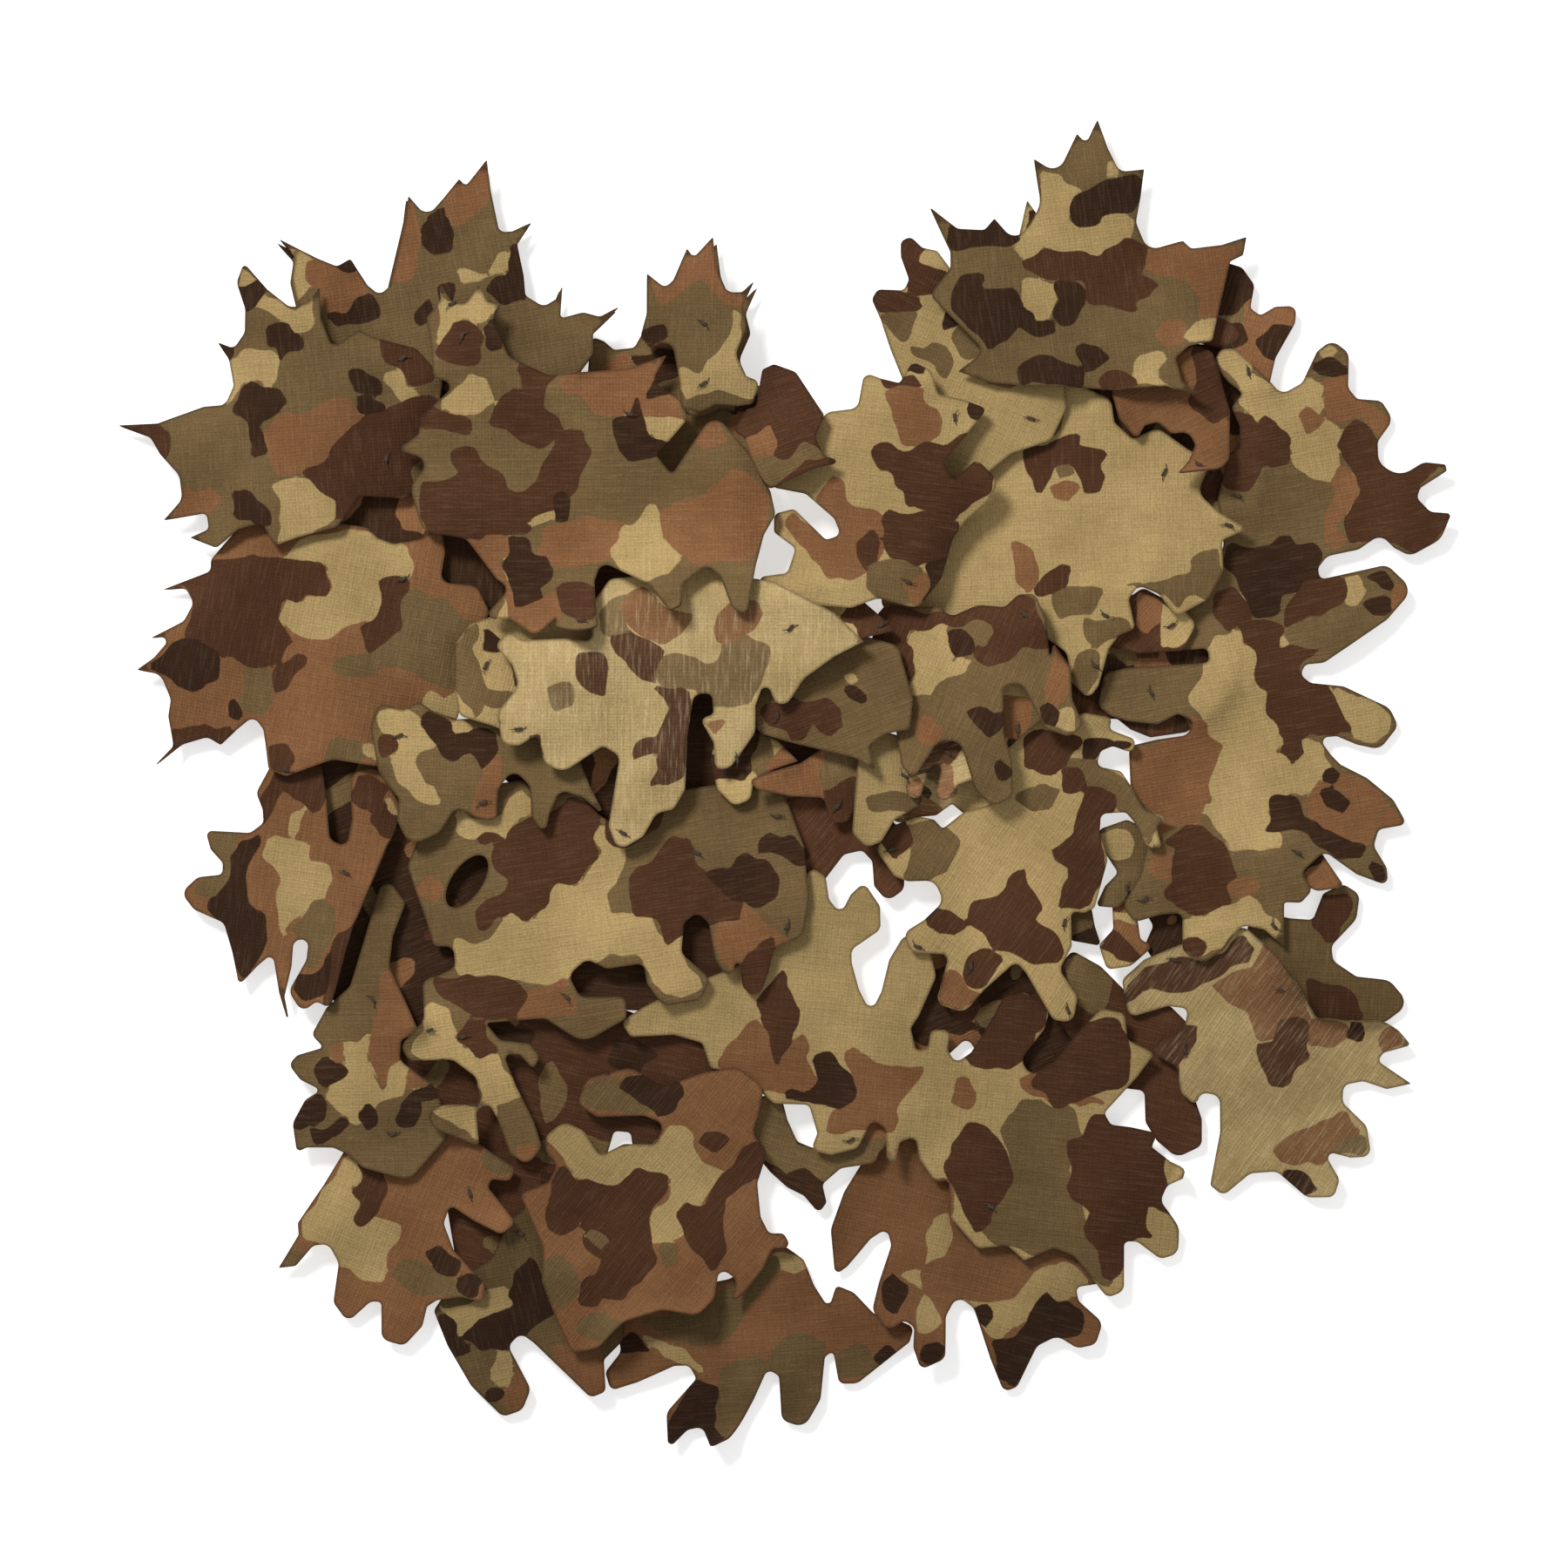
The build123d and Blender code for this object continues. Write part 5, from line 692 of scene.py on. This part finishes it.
def cloth_material(name, inks, streaks):
    """Printed cloth: crisp patches on a slubby plain weave, with its cut edges darkened, partly as
    sealed edges and partly as painted contact shade.
    """
    t = Tree(name)
    thread = t.attribute("weave").outputs["Vector"]
    place = t.attribute("place").outputs["Vector"]
    broad = t.noise(place, 40, 2, 0.5)
    slub = t.noise(thread, 700, 3, 0.6, (0.16, 1.6, 1))
    cross = t.noise(thread, 700, 2, 0.5, (1.6, 0.16, 1))
    fine = t.noise(thread, 1700, 3, 0.7, (0.7, 1.1, 1))
    tone = t.math("MULTIPLY_ADD", slub, 0.35, t.math("MULTIPLY", broad, 0.65))
    tone = t.spread(tone, 0.38, 0.62)
    colour = None
    for letter in CLASSES:
        light, deep = inks[letter]
        ink = t.mix(tone, deep, light)
        if colour is None:
            colour = ink
            continue
        reach = t.attribute("print_" + letter).outputs["Fac"]
        wander = t.math("MULTIPLY_ADD", fine, 0.5, -0.25)
        edge = t.spread(t.math("ADD", reach, wander), -0.42, -0.16)
        colour = t.mix(edge, colour, ink)
    # Slubs: paler and darker threads that run across the leaf.
    streak = t.spread(slub, 0.50, 0.72)
    colour = t.mix(t.math("MULTIPLY", streak, streaks), colour, rgb(206, 190, 152))
    dark_thread = t.spread(cross, 0.34, 0.62, 0.92, 1.03)
    shade = t.math("MULTIPLY", dark_thread, t.spread(fine, 0.3, 0.7, 0.78, 1.18))
    grey = t.add("ShaderNodeCombineColor")
    for socket in grey.inputs[:3]:
        t.put(socket, shade)
    colour = t.mix(1.0, colour, grey.outputs[0], "MULTIPLY")
    # Painted shade and light: each leaf's colour is multiplied by its own factor, carried in the tone
    # attribute.
    painted_light_tint = t.add("ShaderNodeCombineColor")
    for socket in painted_light_tint.inputs[:3]:
        t.put(socket, t.attribute("tone").outputs["Fac"])
    colour = t.mix(1.0, colour, painted_light_tint.outputs[0], "MULTIPLY")
    # The cut edge is darker: partly its sealed edge, partly painted contact shade along each leaf's
    # rim.
    rim = t.attribute("rim").outputs["Fac"]
    sealed_edge_and_shade = t.math("MULTIPLY", t.spread(rim, 0.0, 0.9, 1.0, 0.0), t.spread(fine, 0.2, 0.6, 0.6))
    colour = t.mix(t.math("MULTIPLY", sealed_edge_and_shade, 0.75), colour, rgb(46, 31, 21))
    t.put(t.shader.inputs["Base Color"], colour)
    t.put(t.shader.inputs["Roughness"], t.spread(slub, 0.3, 0.7, 0.80, 0.97))
    t.shader.inputs["Specular IOR Level"].default_value = 0.08
    t.shader.inputs["Sheen Weight"].default_value = 0.02
    t.shader.inputs["Sheen Roughness"].default_value = 0.5
    rows = t.add("ShaderNodeTexWave", wave_type="BANDS", bands_direction="Y")
    t.put(rows.inputs["Vector"], thread)
    rows.inputs["Scale"].default_value = 330
    rows.inputs["Distortion"].default_value = 1.5
    columns = t.add("ShaderNodeTexWave", wave_type="BANDS", bands_direction="X")
    t.put(columns.inputs["Vector"], thread)
    columns.inputs["Scale"].default_value = 330
    columns.inputs["Distortion"].default_value = 1.5
    weave = t.math("MAXIMUM", rows.outputs["Fac"], columns.outputs["Fac"])
    high = t.math("MULTIPLY_ADD", weave, 0.35, t.math("MULTIPLY", slub, 0.9))
    high = t.math("MULTIPLY_ADD", fine, 0.4, high)
    bump = t.add("ShaderNodeBump")
    bump.inputs["Strength"].default_value = 0.55
    bump.inputs["Distance"].default_value = 0.0005
    t.put(bump.inputs["Height"], high)
    t.put(t.shader.inputs["Normal"], bump.outputs[0])
    return t.material


def plain_material(name, light, deep, scale, roughness, bump_depth, stretch=(1, 1, 1)):
    """A matt two-tone material with a fine grain, for the trim."""
    t = Tree(name)
    place = t.add("ShaderNodeTexCoord").outputs["Object"]
    grain = t.noise(place, scale, 4, 0.6, stretch)
    broad = t.noise(place, 60, 2, 0.5)
    colour = t.mix(t.spread(grain, 0.3, 0.7), deep, light)
    colour = t.mix(t.spread(broad, 0.3, 0.7, 0.0, 0.35), colour, deep)
    t.put(t.shader.inputs["Base Color"], colour)
    t.put(t.shader.inputs["Roughness"], t.spread(grain, 0.2, 0.8, roughness - 0.1, roughness))
    bump = t.add("ShaderNodeBump")
    bump.inputs["Strength"].default_value = 0.6
    bump.inputs["Distance"].default_value = bump_depth
    t.put(bump.inputs["Height"], grain)
    t.put(t.shader.inputs["Normal"], bump.outputs[0])
    return t.material


printed = cloth_material("printed_cloth", PRINT, 0.035)
wrong_side = cloth_material("wrong_side_cloth", WRONG, 0.26)
elastic = plain_material("ribbed_elastic", rgb(70, 58, 46), rgb(42, 34, 27), 1400, 0.9, 0.0002)
plastic = plain_material("matt_plastic", rgb(52, 46, 40), rgb(36, 32, 28), 900, 0.6, 0.00005)
cotton = plain_material("twisted_thread", rgb(84, 66, 46), rgb(44, 32, 23), 2600, 0.9, 0.0002)


# ---------------------------------------------------------------- leaves
def read_patches(name):
    """The ground colour of a leaf and its smoothed patches."""
    ground, text = PATCHES.get(name, ("O", ""))
    patches = []
    for word in text.split():
        if word.isalpha():
            patches.append((word, []))
        else:
            patches[-1][1].append([float(v) for v in word.split(",")])
    return ground, [(letter, cut_corners(points)) for letter, points in patches]


def printed_reach(name, points, loops, number):
    """For each ink, how far inside its patches each point lies, in mm."""
    ground, patches = read_patches(name)
    if not patches:
        patches = scattered(ground, loops, number)
    moved = points.copy()
    for k, (cell, far) in enumerate(((7.5, 1.1), (3.6, 0.9))):
        for axis in (0, 1):
            moved[:, axis] += far * noise(points[:, 0], points[:, 1], cell, 900 + 2 * k + axis)
    reach = {c: np.full(len(points), 3.0 if c == ground else -3.0) for c in CLASSES}
    for letter, shape in patches:
        low, high = shape.min(0) - 4, shape.max(0) + 4
        near = ((moved > low) & (moved < high)).all(1)
        if not near.any():
            continue
        some = moved[near]
        depth = distance(some, [shape])
        depth[~inside(some, [shape])] *= -1
        for c in CLASSES:
            if c == letter:
                reach[c][near] = np.maximum(reach[c][near], depth)
            else:
                reach[c][near] = np.minimum(reach[c][near], -depth)
    return reach


def scattered(ground, loops, number):
    """Patches for a leaf that is mostly covered, in the style of the others."""
    rng = np.random.default_rng(4000 + number)
    low, high = loops[0].min(0), loops[0].max(0)
    others = [c for c in "OBDR" if c != ground]
    patches = []
    for _ in range(int(4 + np.prod(high - low) / 500)):
        middle = rng.uniform(low, high)
        long, wide, turn = rng.uniform(6, 13), rng.uniform(3, 6), rng.uniform(0, 3.14)
        ring = []
        for k in range(9):
            angle = 2 * math.pi * k / 9
            far = rng.uniform(0.65, 1.3)
            x, y = long * far * math.cos(angle), wide * far * math.sin(angle)
            ring.append([middle[0] + x * math.cos(turn) - y * math.sin(turn),
                         middle[1] + x * math.sin(turn) + y * math.cos(turn)])
        patches.append((others[rng.integers(len(others))], cut_corners(ring)))
    return patches


def smallest_rectangle(points):
    """The sides of the smallest rectangle that holds the points."""
    best = None
    for turn in np.linspace(0, math.pi / 2, 46)[:-1]:
        c, s = math.cos(turn), math.sin(turn)
        u, v = points @ [c, s], points @ [-s, c]
        sides = (np.ptp(u), np.ptp(v))
        if best is None or sides[0] * sides[1] < best[0] * best[1]:
            best = sides
    return best


def fill_mesh(loops, number):
    """Points and triangles that fill the loops evenly."""
    rng = np.random.default_rng(100 + number)
    rims = [respace(loop, STEP) for loop in loops]
    low, high = rims[0].min(0), rims[0].max(0)
    for rim in rims[1:]:
        low, high = np.minimum(low, rim.min(0)), np.maximum(high, rim.max(0))
    rows = np.arange(low[1], high[1], STEP * 0.866)
    grid = []
    for k, y in enumerate(rows):
        x = np.arange(low[0] + (k % 2) * STEP / 2, high[0], STEP)
        grid.append(np.stack([x, np.full(len(x), y)], 1))
    grid = np.concatenate(grid)
    grid = grid + rng.uniform(-0.12, 0.12, grid.shape) * STEP
    grid = grid[inside(grid, rims)]
    if len(grid):
        grid = grid[distance(grid, rims) > 0.55 * STEP]
    points, edges = [], []
    for rim in rims:
        first = len(points)
        points += [tuple(p) for p in rim]
        edges += [(first + k, first + (k + 1) % len(rim)) for k in range(len(rim))]
    points += [tuple(p) for p in grid]
    found = geometry.delaunay_2d_cdt([Vector(p) for p in points], edges, [], 0, 1e-4)
    co = np.array([tuple(v) for v in found[0]])
    faces = np.array([f for f in found[2] if len(f) == 3])
    faces = faces[inside(co[faces].mean(1), rims)]
    a, b, c = (co[faces[:, k]] for k in range(3))
    turn = (b[:, 0] - a[:, 0]) * (c[:, 1] - a[:, 1]) - (b[:, 1] - a[:, 1]) * (c[:, 0] - a[:, 0])
    faces[turn < 0] = faces[turn < 0][:, ::-1]
    faces = faces[np.abs(turn) > 1e-5]
    return co, faces, rims


def drape(name, number, mask, under):
    """The height of the underside of a leaf over its cells, and beyond by blending."""
    ys, xs = np.nonzero(mask)
    window = np.ix_(np.arange(max(ys.min() - MARGIN, 0), min(ys.max() + MARGIN, SIZE)),
                    np.arange(max(xs.min() - MARGIN, 0), min(xs.max() + MARGIN, SIZE)))
    rest = grown(under)[window] + GAP
    part = mask[window]
    weight = part.astype(float)
    height = rest * weight
    for sigma in (9, 9, 7, 7, 5, 5, 4, 3, 2.5, 2, 1.6, 1.4):
        soft = blur(height, sigma) / np.maximum(blur(weight, sigma), 1e-4)
        height = np.maximum(rest, soft) * weight
    rows, columns = np.nonzero(part)
    x = (columns + window[1].min()) * CELL - HALF
    y = (rows + window[0].min()) * CELL - HALF
    # Soft bulges and wrinkles, only upwards so that the leaf stays clear.
    edge = np.clip(1.2 - np.minimum(blur(weight, 4.5)[part], 1), 0, 1)
    lift = 1.1 * np.maximum(noise(x, y, 26, 300 + number), -0.4) + 0.45
    lift += EDGE_LIFT * edge * np.maximum(noise(x, y, 17, 500 + number), -0.05)
    lift += 0.5 * np.abs(noise(x, y, 9, 700 + number))
    for lx, ly, reach, high in LIFTS.get(name, ()):
        lift += high * np.exp(-((x - lx) ** 2 + (y - ly) ** 2) / (2 * reach * reach))
    height[part] += np.maximum(lift, 0)
    # The cloth is springy, so it stands up towards the height of its CAD leaf.
    core = np.clip(2 * blur(weight, 9) - 0.7, 0, 1)
    spare = np.maximum(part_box(name)[0].z / MM - height, 0)
    height += SPRING * spare * (0.3 + 0.7 * core) * weight
    soft = blur(height * weight, 1.2) / np.maximum(blur(weight, 1.2), 1e-4)
    height = np.maximum(rest, soft) * weight
    filled, share = height.copy(), weight.copy()
    for sigma in (1, 1.5, 2.5):
        spread = blur(filled * share, sigma) / np.maximum(blur(share, sigma), 1e-6)
        filled = np.where(share > 0.5, filled, spread)
        share = np.where((share > 0.5) | (blur(share, sigma) > 0.02), 1.0, 0.0)
    full = [np.zeros((SIZE, SIZE)), np.zeros((SIZE, SIZE))]
    full[0][window] = height
    full[1][window] = filled
    return full


def rolled(curl, flat, depth):
    """Points of a leaf with an edge rolled up; depth is how far they lie inside the roll."""
    x, y, to_x, to_y, radius = curl
    length = math.hypot(to_x - x, to_y - y)
    along = np.array([to_x - x, to_y - y]) / length
    out = np.array([-along[1], along[0]])
    t = (flat - [x, y]) @ along
    past = np.maximum(np.maximum(-t, t - length), 0)
    reach = np.maximum((flat - [x, y]) @ out - 0.6 * past - 0.05 * past * past, 0)
    turn = reach / radius
    move = (radius - depth) * np.sin(turn) - reach
    rise = (radius - depth) * (1 - np.cos(turn))
    return move[:, None] * out, rise


def make_leaf(name, number, surface):
    """Build one leaf on the surface so far and return the new surface."""
    loops = outline(name)
    co, faces, rims = fill_mesh(loops, number)
    axis = np.arange(SIZE) * CELL - HALF
    low, high = loops[0].min(0), loops[0].max(0)
    for loop in loops[1:]:
        low, high = np.minimum(low, loop.min(0)), np.maximum(high, loop.max(0))
    mask = np.zeros((SIZE, SIZE), bool)
    i = np.nonzero((axis >= low[0] - 1) & (axis <= high[0] + 1))[0]
    j = np.nonzero((axis >= low[1] - 1) & (axis <= high[1] + 1))[0]
    gx, gy = np.meshgrid(axis[i], axis[j])
    cells = np.stack([gx.ravel(), gy.ravel()], 1)
    mask[np.ix_(j, i)] = inside(cells, rims).reshape(gx.shape)
    mask = grown(mask)
    height, filled = drape(name, number, mask, surface)
    z = sample(filled, co)

    count = len(co)
    top = np.column_stack([co, z + CLOTH])
    bottom = np.column_stack([co, z])
    for curl in CURLS.get(name, ()):
        for points, depth in ((top, CLOTH), (bottom, 0.0)):
            move, rise = rolled(curl, co, depth)
            points[:, :2] += move
            points[:, 2] += rise
    sides = set()
    for f in faces.tolist():
        sides.update(((f[0], f[1]), (f[1], f[2]), (f[2], f[0])))
    rim = [(a, b) for a, b in sides if (b, a) not in sides]
    rim.sort()
    rows = faces.tolist()
    rows += [(c + count, b + count, a + count) for a, b, c in faces.tolist()]
    rows += [(b, a, a + count, b + count) for a, b in rim]
    mesh = bpy.data.meshes.new("cloth_" + name)
    mesh.from_pydata((np.concatenate([top, bottom]) * MM).tolist(), [], rows)
    mesh.update()
    kinds = np.zeros(len(rows), np.int32)
    kinds[len(faces):2 * len(faces)] = 1
    mesh.polygons.foreach_set("material_index", kinds)
    mesh.polygons.foreach_set("use_smooth", np.ones(len(rows), bool))
    sharp = {(min(a, b), max(a, b)) for a, b in rim}
    sharp |= {(a + count, b + count) for a, b in sharp}
    ends = np.zeros(len(mesh.edges) * 2, np.int32)
    mesh.edges.foreach_get("vertices", ends)
    marks = [(min(a, b), max(a, b)) in sharp for a, b in ends.reshape(-1, 2).tolist()]
    mesh.attributes.new("sharp_edge", "BOOLEAN", "EDGE").data.foreach_set("value", marks)

    reach = printed_reach(name, co, loops, number)
    reach["rim"] = distance(co, rims)
    # The tone attribute carries each leaf's factor of painted shade and light.
    reach["tone"] = np.full(count, PAINTED_LEAF_LIGHT.get(name, 1.0))
    for key, values in reach.items():
        label = key if key in ("rim", "tone") else "print_" + key
        store = mesh.attributes.new(label, "FLOAT", "POINT")
        store.data.foreach_set("value", np.tile(values, 2).astype(np.float32))
    turn = np.random.default_rng(2000 + number).uniform(-0.5, 0.5) + (number % 2) * 1.3
    c, s = math.cos(turn), math.sin(turn)
    u, v = co @ [c, s] * MM, co @ [-s, c] * MM
    for label, a, b in (("weave", u, v), ("place", co[:, 0] * MM, co[:, 1] * MM)):
        flat = np.column_stack([a, b, np.full(count, number * 0.37)])
        store = mesh.attributes.new(label, "FLOAT_VECTOR", "POINT")
        store.data.foreach_set("vector", np.concatenate([flat, flat]).ravel().astype(np.float32))

    piece = bpy.data.objects.new("cloth_" + name, mesh)
    bpy.context.scene.collection.objects.link(piece)
    pale = SLOTS[name] == "camo_wrong_side"
    for material in ((wrong_side, printed) if pale else (printed, wrong_side)):
        mesh.materials.append(material)
    if name in FLAP_BENDS:
        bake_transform(piece)
    else:
        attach(piece, "mask")
    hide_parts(name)
    a, b, c = (co[faces[:, k]] for k in range(3))
    sides = smallest_rectangle(co)
    return mask, np.where(mask, height + CLOTH, surface), height + CLOTH


SLOTS = {s["node"]: s["material_slot"] for s in frame["record"]["subparts"]}
TRIM = ("head_band", "band_keeper", "tack_threads")
names = sorted((n for n in SLOTS if n not in TRIM), key=lambda n: (round(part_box(n)[0].z, 5), n))

# Where the CAD threads stand, and the height there of the topmost leaf that is no flap,
# which the loop over the leaves fills in.
knots = []
for v in frame["nodes"]["tack_threads"].data.vertices:
    p = np.array(v.co) / MM
    for knot in knots:
        if np.hypot(*(knot["sum"] / knot["count"] - p[:2])) < TACK_APART:
            knot["sum"] += p[:2]
            knot["count"] += 1
            break
    else:
        knots.append({"sum": p[:2].copy(), "count": 1})
spots = np.array([k["sum"] / k["count"] for k in knots])
knot_high = np.zeros(len(spots))

# The band and its keeper lie first, and the leaves are draped over them.
band_low, band_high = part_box("head_band")
keeper_low, keeper_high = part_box("band_keeper")
axis = np.arange(SIZE) * CELL - HALF
gx, gy = np.meshgrid(axis, axis)
surface = np.zeros((SIZE, SIZE))
under_band = (np.abs(gx) < band_high.x / MM + 2) & (gy > keeper_low.y / MM - 1)
under_band &= gy < keeper_high.y / MM + 1
surface[under_band] = keeper_high.z / MM - 0.2

for number, name in enumerate(names):
    mask, surface, height = make_leaf(name, number, surface)
    if name not in FLAP_BENDS:
        hit = sample(mask.astype(float), spots) > 0.6
        knot_high = np.where(hit, sample(np.where(mask, height, 0), spots), knot_high)


# ---------------------------------------------------------------- threads and knots
def add_mesh(name, vertices, faces, material, body, node):
    mesh = bpy.data.meshes.new(name)
    mesh.from_pydata(vertices, [], faces)
    mesh.update()
    mesh.polygons.foreach_set("use_smooth", np.ones(len(faces), bool))
    mesh.materials.append(material)
    piece = bpy.data.objects.new(name, mesh)
    bpy.context.scene.collection.objects.link(piece)
    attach(piece, body)
    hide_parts(node)
    return piece


def tube(path, radius, vertices, faces, sides=6):
    """Add a closed round tube along a path, in mm."""
    path = np.array(path, float)
    first = len(vertices)
    ahead = np.gradient(path, axis=0)
    ahead /= np.maximum(np.linalg.norm(ahead, axis=1), 1e-9)[:, None]
    for k, (p, d) in enumerate(zip(path, ahead)):
        side = np.cross(d, [0, 0, 1.0])
        if np.linalg.norm(side) < 0.2:
            side = np.cross(d, [1.0, 0, 0])
        side /= np.linalg.norm(side)
        over = np.cross(side, d)
        r = radius * (0.7 if k in (0, len(path) - 1) else 1)
        for m in range(sides):
            a = 2 * math.pi * m / sides
            vertices.append(tuple((p + r * (math.cos(a) * side + math.sin(a) * over)) * MM))
    for k in range(len(path) - 1):
        for m in range(sides):
            n = (m + 1) % sides
            a, b = first + k * sides, first + (k + 1) * sides
            faces.append((a + m, a + n, b + n, b + m))
    faces.append(tuple(first + m for m in range(sides))[::-1])
    faces.append(tuple(first + (len(path) - 1) * sides + m for m in range(sides)))


rng = np.random.default_rng(77)
vertices, faces = [], []
for (x, y), z in zip(spots, knot_high):
    turn = rng.uniform(0, math.pi)
    along = np.array([math.cos(turn), math.sin(turn), 0])
    across = np.array([-math.sin(turn), math.cos(turn), 0])
    middle = np.array([x, y, z + 0.22])
    for shift in (-0.28, 0.05, 0.34):
        path = []
        for k in range(7):
            s = -1 + k / 3
            rise = 0.34 * (1 - s * s) - 0.28 * (abs(s) > 0.9)
            path.append(middle + along * 1.25 * s + across * (shift + 0.12 * math.sin(3 * s))
                        + np.array([0, 0, rise]))
        tube(path, STITCH, vertices, faces)
    for way in (-1, 1):
        bend = rng.uniform(-0.8, 0.8)
        path = [middle + along * way * (0.2 + 0.55 * k) + across * bend * 0.22 * k * k * 0.5
                + np.array([0, 0, 0.3 + 0.16 * k - 0.05 * k * k]) for k in range(5)]
        tube(path, THREAD_END, vertices, faces)
add_mesh("tack_stitches", vertices, faces, cotton, "mask", "tack_threads")

# ---------------------------------------------------------------- head band
vertices, faces = [], []
length, ribs = (band_high.x - band_low.x) / MM, 16
columns = 98             # lines of points across the band
across = np.linspace(band_low.y / MM, band_high.y / MM, ribs * 4 + 1)
ribbing = 0.12 * np.abs(np.sin(np.linspace(0, math.pi * ribs, len(across))))
for side in (1, -1):
    for k in range(columns):
        x = band_low.x / MM + length * k / (columns - 1)
        for y, r in zip(across, ribbing):
            z = (band_high.z if side > 0 else band_low.z) / MM - side * (0.14 - r)
            vertices.append((x * MM, y * MM, z * MM))
wide = len(across)
sheet_count = columns * wide
for k in range(columns - 1):
    for m in range(wide - 1):
        a = k * wide + m
        faces.append((a, a + wide, a + wide + 1, a + 1))
        b = a + sheet_count
        faces.append((b, b + 1, b + wide + 1, b + wide))
    for m, flip in ((0, False), (wide - 1, True)):
        a, b = k * wide + m, (k + 1) * wide + m
        quad = (b, a, a + sheet_count, b + sheet_count)
        faces.append(quad[::-1] if flip else quad)
for m in range(wide - 1):
    a, b = m, m + 1
    faces.append((a, b, b + sheet_count, a + sheet_count))
    a, b = (columns - 1) * wide + m, (columns - 1) * wide + m + 1
    faces.append((b, a, a + sheet_count, b + sheet_count))
add_mesh("ribbed_band", vertices, faces, elastic, "mask", "head_band")

keeper = frame["nodes"]["band_keeper"]
keeper.data.materials.clear()
keeper.data.materials.append(plastic)

# ---------------------------------------------------------------- floor and light
floor_tree = Tree("pale_floor")
grain = floor_tree.noise(floor_tree.add("ShaderNodeTexCoord").outputs["Object"], 30, 2)
floor_tree.put(floor_tree.shader.inputs["Base Color"],
               floor_tree.mix(grain, (0.66, 0.66, 0.66, 1), (0.69, 0.69, 0.69, 1)))
floor_tree.shader.inputs["Roughness"].default_value = 0.9
floor_tree.shader.inputs["Specular IOR Level"].default_value = 0.1
floor_tree.shader.inputs["Emission Color"].default_value = (1, 1, 1, 1)
floor_tree.shader.inputs["Emission Strength"].default_value = 0.55
floor_mesh = bpy.data.meshes.new("floor")
floor_mesh.from_pydata([(-6, -6, 0), (6, -6, 0), (6, 6, 0), (-6, 6, 0)], [], [(0, 1, 2, 3)])
floor_mesh.materials.append(floor_tree.material)
floor = bpy.data.objects.new("floor", floor_mesh)
floor.location.z = -0.0004
bpy.context.scene.collection.objects.link(floor)


def area_light(name, at, size, power):
    data = bpy.data.lights.new(name, "AREA")
    data.shape = "DISK"
    data.size = size
    data.energy = power
    light = bpy.data.objects.new(name, data)
    light.location = at
    light.rotation_euler = (-Vector(at)).to_track_quat("-Z", "Y").to_euler()
    bpy.context.scene.collection.objects.link(light)


area_light("key", (-0.8, 1.15, 1.25), 0.5, 34)
area_light("fill", (1.2, -0.9, 1.3), 1.6, 3)
world = bpy.data.worlds.new("studio")
bpy.context.scene.world = world
world.use_nodes = True
world.node_tree.nodes["Background"].inputs["Color"].default_value = (1, 1, 1, 1)
world.node_tree.nodes["Background"].inputs["Strength"].default_value = 0.46
bpy.context.scene.view_settings.view_transform = "Standard"

bpy.context.view_layer.update()
